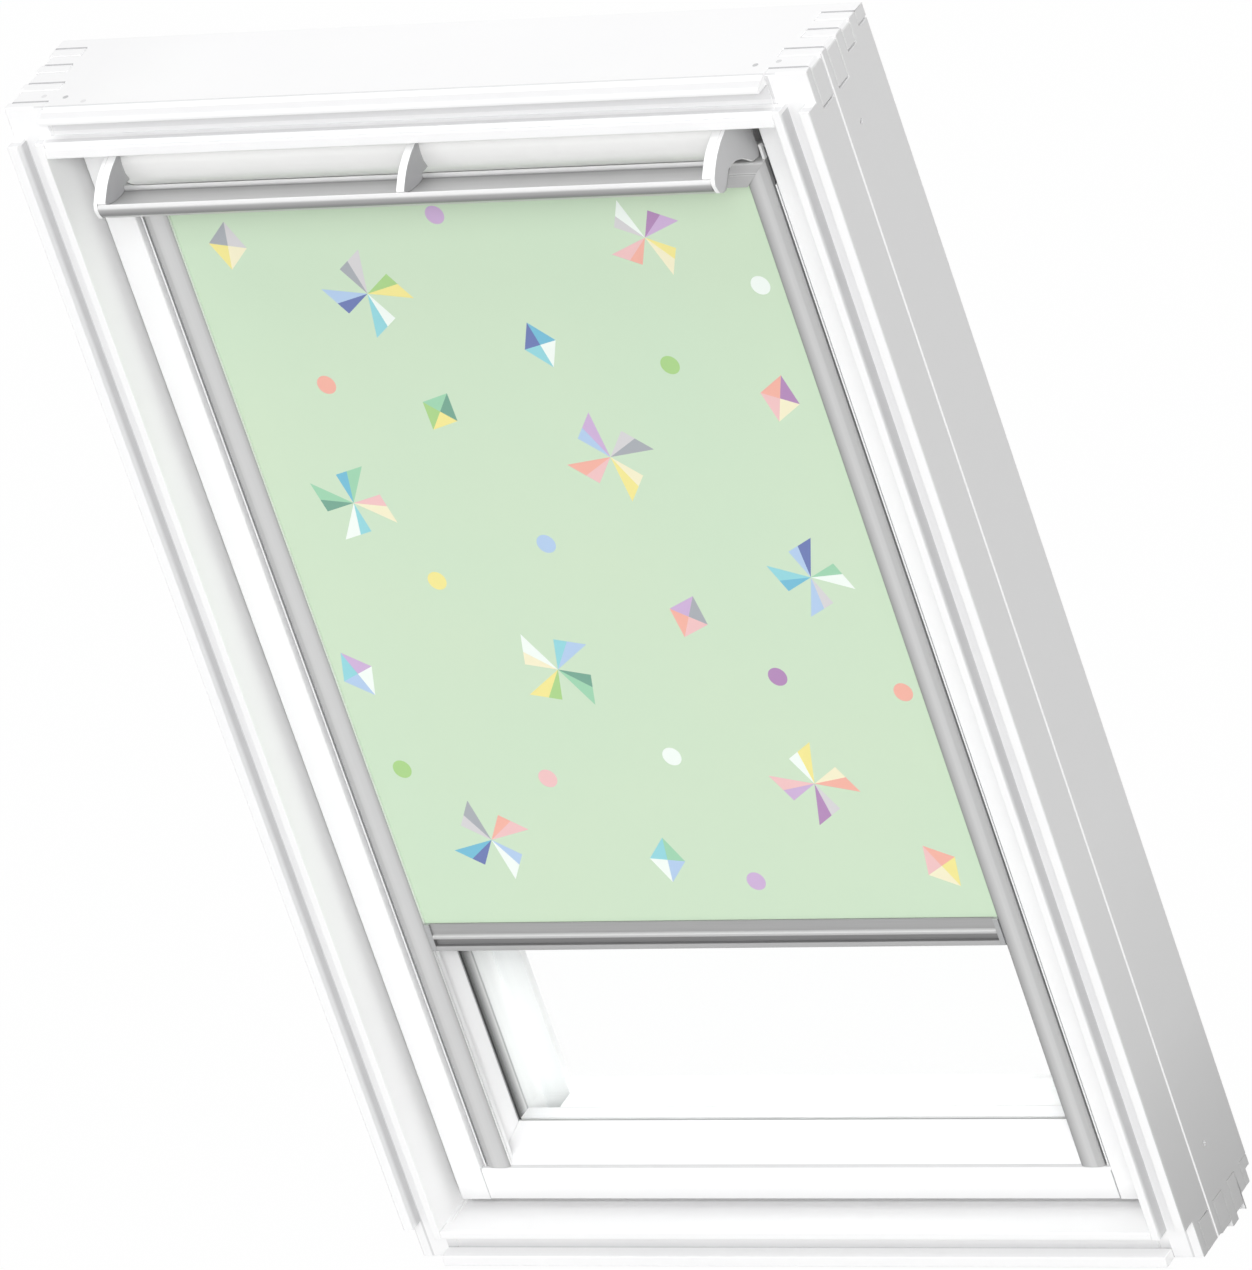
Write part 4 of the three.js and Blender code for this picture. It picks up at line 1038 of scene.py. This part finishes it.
def rail_heads():
    """The corner pieces between the casing and the rails, mitred to the casing, and a tab above each."""
    wall = HEAD_WALL
    front = rail_front()
    shell = front + [
        (RAIL_OUTER, CASING_BACK), (RAIL_OUTER - wall, CASING_BACK),
        (RAIL_OUTER - wall, RAIL_FRONT + 3 * wall)]
    shell += [(x, depth + wall) for x, depth in front[::-1] if x < RAIL_OUTER - wall]

    rail_pair("rail_head", shell, RAIL_HIGH, mitre_height, "blind_casing_end_")

    def tab(name, sign, _):
        outline = eased([
            (TAB_FRONT, CASING_HIGH, 0.5), (TAB_BACK, CASING_HIGH, 0.5), (TAB_BACK, TAB_HIGH, 1),
            (TAB_FRONT, TAB_HIGH, 1)])
        bars_of(name, [(outline, sign * TAB_INNER, sign * RAIL_OUTER, "x")], plastic, "sash", ())

    pair("casing_tab", tab)


def fabric_sheet(name, front, finish, body, anchor):
    """A taut sheet from the bar to the roller; its anchor is not used."""
    high = ROLLER_LINE
    low = BAR_LINE
    build = bmesh.new()
    rows, columns = 24, 18

    def corner(row, column, depth):
        across = FABRIC_HALF * (2 * column / columns - 1)
        return build.verts.new(place(across, depth, low + (high - low) * row / rows))

    for depth in (front, front + FABRIC_THICKNESS):
        grid = [[corner(r, c, depth) for c in range(columns + 1)] for r in range(rows + 1)]
        for r in range(rows):
            for c in range(columns):
                build.faces.new((grid[r][c], grid[r][c + 1], grid[r + 1][c + 1], grid[r + 1][c]))
    bmesh.ops.bridge_loops(build, edges=[e for e in build.edges if e.is_boundary])
    bmesh.ops.recalc_face_normals(build, faces=build.faces)
    piece = finished(name, mesh_of(name, build), finish, body, ["blind_fabric"])
    tuple(place(0, front, anchor))
    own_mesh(piece)


def screw_tree():
    """Geometry Nodes: a round head with a crossed slot on every point, turned as the point says."""
    tree = bpy.data.node_groups.new("screw_heads", "GeometryNodeTree")
    inputs = {
        "Geometry": "Geometry", "Radius": "Float", "Height": "Float", "Slot": "Float", "Material": "Material"}
    for name, kind in inputs.items():
        tree.interface.new_socket(name, in_out="INPUT", socket_type="NodeSocket" + kind)
    tree.interface.new_socket("Geometry", in_out="OUTPUT", socket_type="NodeSocketGeometry")

    def node(kind, settings, sockets):
        made = tree.nodes.new(kind)
        for name, value in settings.items():
            setattr(made, name, value)
        for key, value in sockets.items():
            if isinstance(value, bpy.types.NodeSocket):
                tree.links.new(value, made.inputs[key])
            else:
                made.inputs[key].default_value = value
        return made

    given = node("NodeGroupInput", {}, {}).outputs
    disc = node("GeometryNodeMeshCylinder", {}, {
        "Vertices": 20, "Radius": given["Radius"], "Depth": given["Height"]})
    size = node("ShaderNodeCombineXYZ", {}, {0: given["Radius"], 1: given["Slot"], 2: given["Height"]})
    lift = node("ShaderNodeCombineXYZ", {}, {2: given["Slot"]})
    blade = node("GeometryNodeMeshCube", {}, {"Size": size.outputs[0]})
    cuts = []
    for turn in (0, math.pi / 2):
        placed = node("GeometryNodeTransform", {}, {
            "Geometry": blade.outputs[0], "Translation": lift.outputs[0], "Rotation": (0, 0, turn)})
        cuts.append(placed.outputs[0])
    cross = node("GeometryNodeJoinGeometry", {}, {0: cuts[0]})
    tree.links.new(cuts[1], cross.inputs[0])
    cut = {0: disc.outputs[0], 1: cross.outputs[0]}
    head = node("GeometryNodeMeshBoolean", {"operation": "DIFFERENCE"}, cut)
    turn = node("GeometryNodeInputNamedAttribute", {"data_type": "FLOAT_VECTOR"}, {0: "turn"})
    heads = node("GeometryNodeInstanceOnPoints", {}, {
        "Points": given["Geometry"], "Instance": head.outputs[0], "Rotation": turn.outputs[0]})
    real = node("GeometryNodeRealizeInstances", {}, {0: heads.outputs[0]})
    painted = node("GeometryNodeSetMaterial", {}, {
        "Geometry": real.outputs[0], "Material": given["Material"]})
    node("NodeGroupOutput", {}, {0: painted.outputs[0]})
    return tree


SCREW_TREE = screw_tree()
SCREW_SLOT_SHARE = 0.22
# Each screw: across, depth, height and turn in degrees of the face that it stands on
PIVOT_SCREWS = [(sign * 354.8, depth, height, (0, -90 * sign, 0))
                for sign in (-1, 1) for depth in (58, 82) for height in (545, 626)]
COVER_SCREWS = [(sign * 331, 126, height, (-90, 0, 0))
                for sign in (-1, 1) for height in (80, 335, 585, 835, 1095)]
COVER_SCREWS += [(x, 126, 58, (-90, 0, 0)) for x in (-190, 0, 190)]


def screws(name, body, spots, radius, height):
    """One piece of all the screw heads at the given spots."""
    points = bpy.data.meshes.new(name + "_points")
    points.from_pydata([place(*spot[:3]) for spot in spots], [], [])
    turns = points.attributes.new("turn", "FLOAT_VECTOR", "POINT")
    for i, spot in enumerate(spots):
        turns.data[i].vector = [math.radians(angle) for angle in spot[3]]
    maker = added(name + "_points", points)
    modifier = maker.modifiers.new("heads", "NODES")
    modifier.node_group = SCREW_TREE
    given = {"Radius": radius * MM, "Height": 2 * height * MM, "Slot": SCREW_SLOT_SHARE * radius * MM,
             "Material": steel.material}
    for item in SCREW_TREE.interface.items_tree:
        if item.in_out == "INPUT" and item.name in given:
            modifier[item.identifier] = given[item.name]
    depsgraph = bpy.context.evaluated_depsgraph_get()
    mesh = bpy.data.meshes.new_from_object(maker.evaluated_get(depsgraph), depsgraph=depsgraph)
    mesh.name = name
    bpy.data.objects.remove(maker)
    finished(name, mesh, steel, body)


# Camera, light and floor
def camera():
    made = added("camera", bpy.data.cameras.new("camera"))
    made.location = CAMERA_AT
    made.rotation_euler = Euler([math.radians(turn) for turn in CAMERA_TURN], "XYZ")
    made.data.sensor_fit = "HORIZONTAL"
    made.data.sensor_width = CAMERA_SENSOR
    made.data.lens = CAMERA_LENS
    made.data.clip_end = CAMERA_REACH
    bpy.context.scene.camera = made


def lights():
    for name, strength, spread, source in LAMPS:
        lamp = added(name, bpy.data.lights.new(name, "SUN"))
        lamp.data.energy = strength
        lamp.data.angle = math.radians(spread)
        lamp.rotation_euler = Vector(source).to_track_quat("Z", "Y").to_euler()


def straight_rays(tree):
    """1 where a ray comes from the camera, a gloss or a pane, and 0 where it lights a matt surface."""
    path = tree.nodes.new("ShaderNodeLightPath")
    total = path.outputs["Is Camera Ray"]
    for name in ("Is Glossy Ray", "Is Transmission Ray"):
        more = tree.nodes.new("ShaderNodeMath")
        more.operation = "MAXIMUM"
        tree.links.new(total, more.inputs[0])
        tree.links.new(path.outputs[name], more.inputs[1])
        total = more.outputs[0]
    return total


def shown(tree, share, first, second, output):
    """Shows two shaders at the tree's output, the second one by its share."""
    mix = tree.nodes.new("ShaderNodeMixShader")
    tree.links.new(share, mix.inputs[0])
    tree.links.new(first.outputs[0], mix.inputs[1])
    tree.links.new(second.outputs[0], mix.inputs[2])
    tree.links.new(mix.outputs[0], tree.nodes[output].inputs["Surface"])


def surroundings():
    world = bpy.data.worlds.new("studio")
    bpy.context.scene.world = world
    world.use_nodes = True
    tree = world.node_tree
    soft = tree.nodes["Background"]
    soft.inputs["Color"].default_value = (1, 1, 1, 1)
    soft.inputs["Strength"].default_value = AMBIENT
    white = tree.nodes.new("ShaderNodeBackground")
    white.inputs["Color"].default_value = (1, 1, 1, 1)
    shown(tree, straight_rays(tree), soft, white, "World Output")


def floor():
    mesh = bpy.data.meshes.new("floor")
    reach = FLOOR_REACH
    mesh.from_pydata(
        [(-reach, -reach, 0), (reach, -reach, 0), (reach, reach, 0), (-reach, reach, 0)], [], [(0, 1, 2, 3)])
    made = added("floor", mesh)
    material = bpy.data.materials.new("white_floor")
    material.use_nodes = True
    tree = material.node_tree
    matt = tree.nodes["Principled BSDF"]
    matt.inputs["Base Color"].default_value = (FLOOR_GREY, FLOOR_GREY, FLOOR_GREY, 1)
    matt.inputs["Roughness"].default_value = FLOOR_ROUGHNESS
    share = tree.nodes.new("ShaderNodeMath")
    share.operation = "MULTIPLY"
    tree.links.new(straight_rays(tree), share.inputs[0])
    share.inputs[1].default_value = FLOOR_WHITE_SHARE
    shown(tree, share.outputs[0], matt, tree.nodes.new("ShaderNodeEmission"), "Material Output")
    mesh.materials.append(material)


bpy.context.scene.view_settings.view_transform = "Standard"
camera()
lights()
surroundings()
floor()

# The finish of each CAD node, by how its name starts
FINISHES = [
    (("frame_cladding", "sash_cover"), lacquer),
    ("frame_", frame_paint),
    ("sash_", sash_paint),
    (("pivot_", "latch_", "hinge_pin", "roller_shaft", "roller_spring"), steel),
    (("flap_", "vent_flap", "roller_plug", "blind_glider"), plastic),
    ("weather_seal", pale_rubber),
    ("vent_filter", foam),
    (("glass_inner", "glass_outer"), pane),
    ("glass_spacer", spacer),
    ("glazing_seal", glazing_rubber),
    ("blind_rail", rail_metal),
    ("blind_casing", casing_metal),
    ("control_bar", bar_metal),
    ("blind_bar", pull_metal),
    ("roller_tube", tube_metal),
    (("roller_winding", "blind_fabric"), cloth_front),
]
for name in nodes:
    coat(nodes[name].data, next(finish for starts, finish in FINISHES if name.startswith(starts)))

softened(["frame_side_left", "frame_side_right", "frame_top", "frame_bottom"], frame_paint, TIMBER_EDGE)
softened(["sash_stile_left", "sash_stile_right", "sash_top", "sash_bottom"], sash_paint, TIMBER_EDGE)
vent_flap()
control_bar()
fins()
blind_rails()
bottom_bar()
casing()
rail_heads()
screws("pivot_screws", "frame", PIVOT_SCREWS, radius=3.2, height=0.8)
screws("cover_screws", "sash", COVER_SCREWS, radius=4, height=1.2)
fabric_sheet("hanging_cloth", FABRIC_DEPTH + FRONT_SHEET, cloth_front, "blind_bar", BAR_LINE)
fabric_sheet("following_cloth", FABRIC_DEPTH + REST_SHEET, cloth_rest, "sash", ROLLER_LINE)
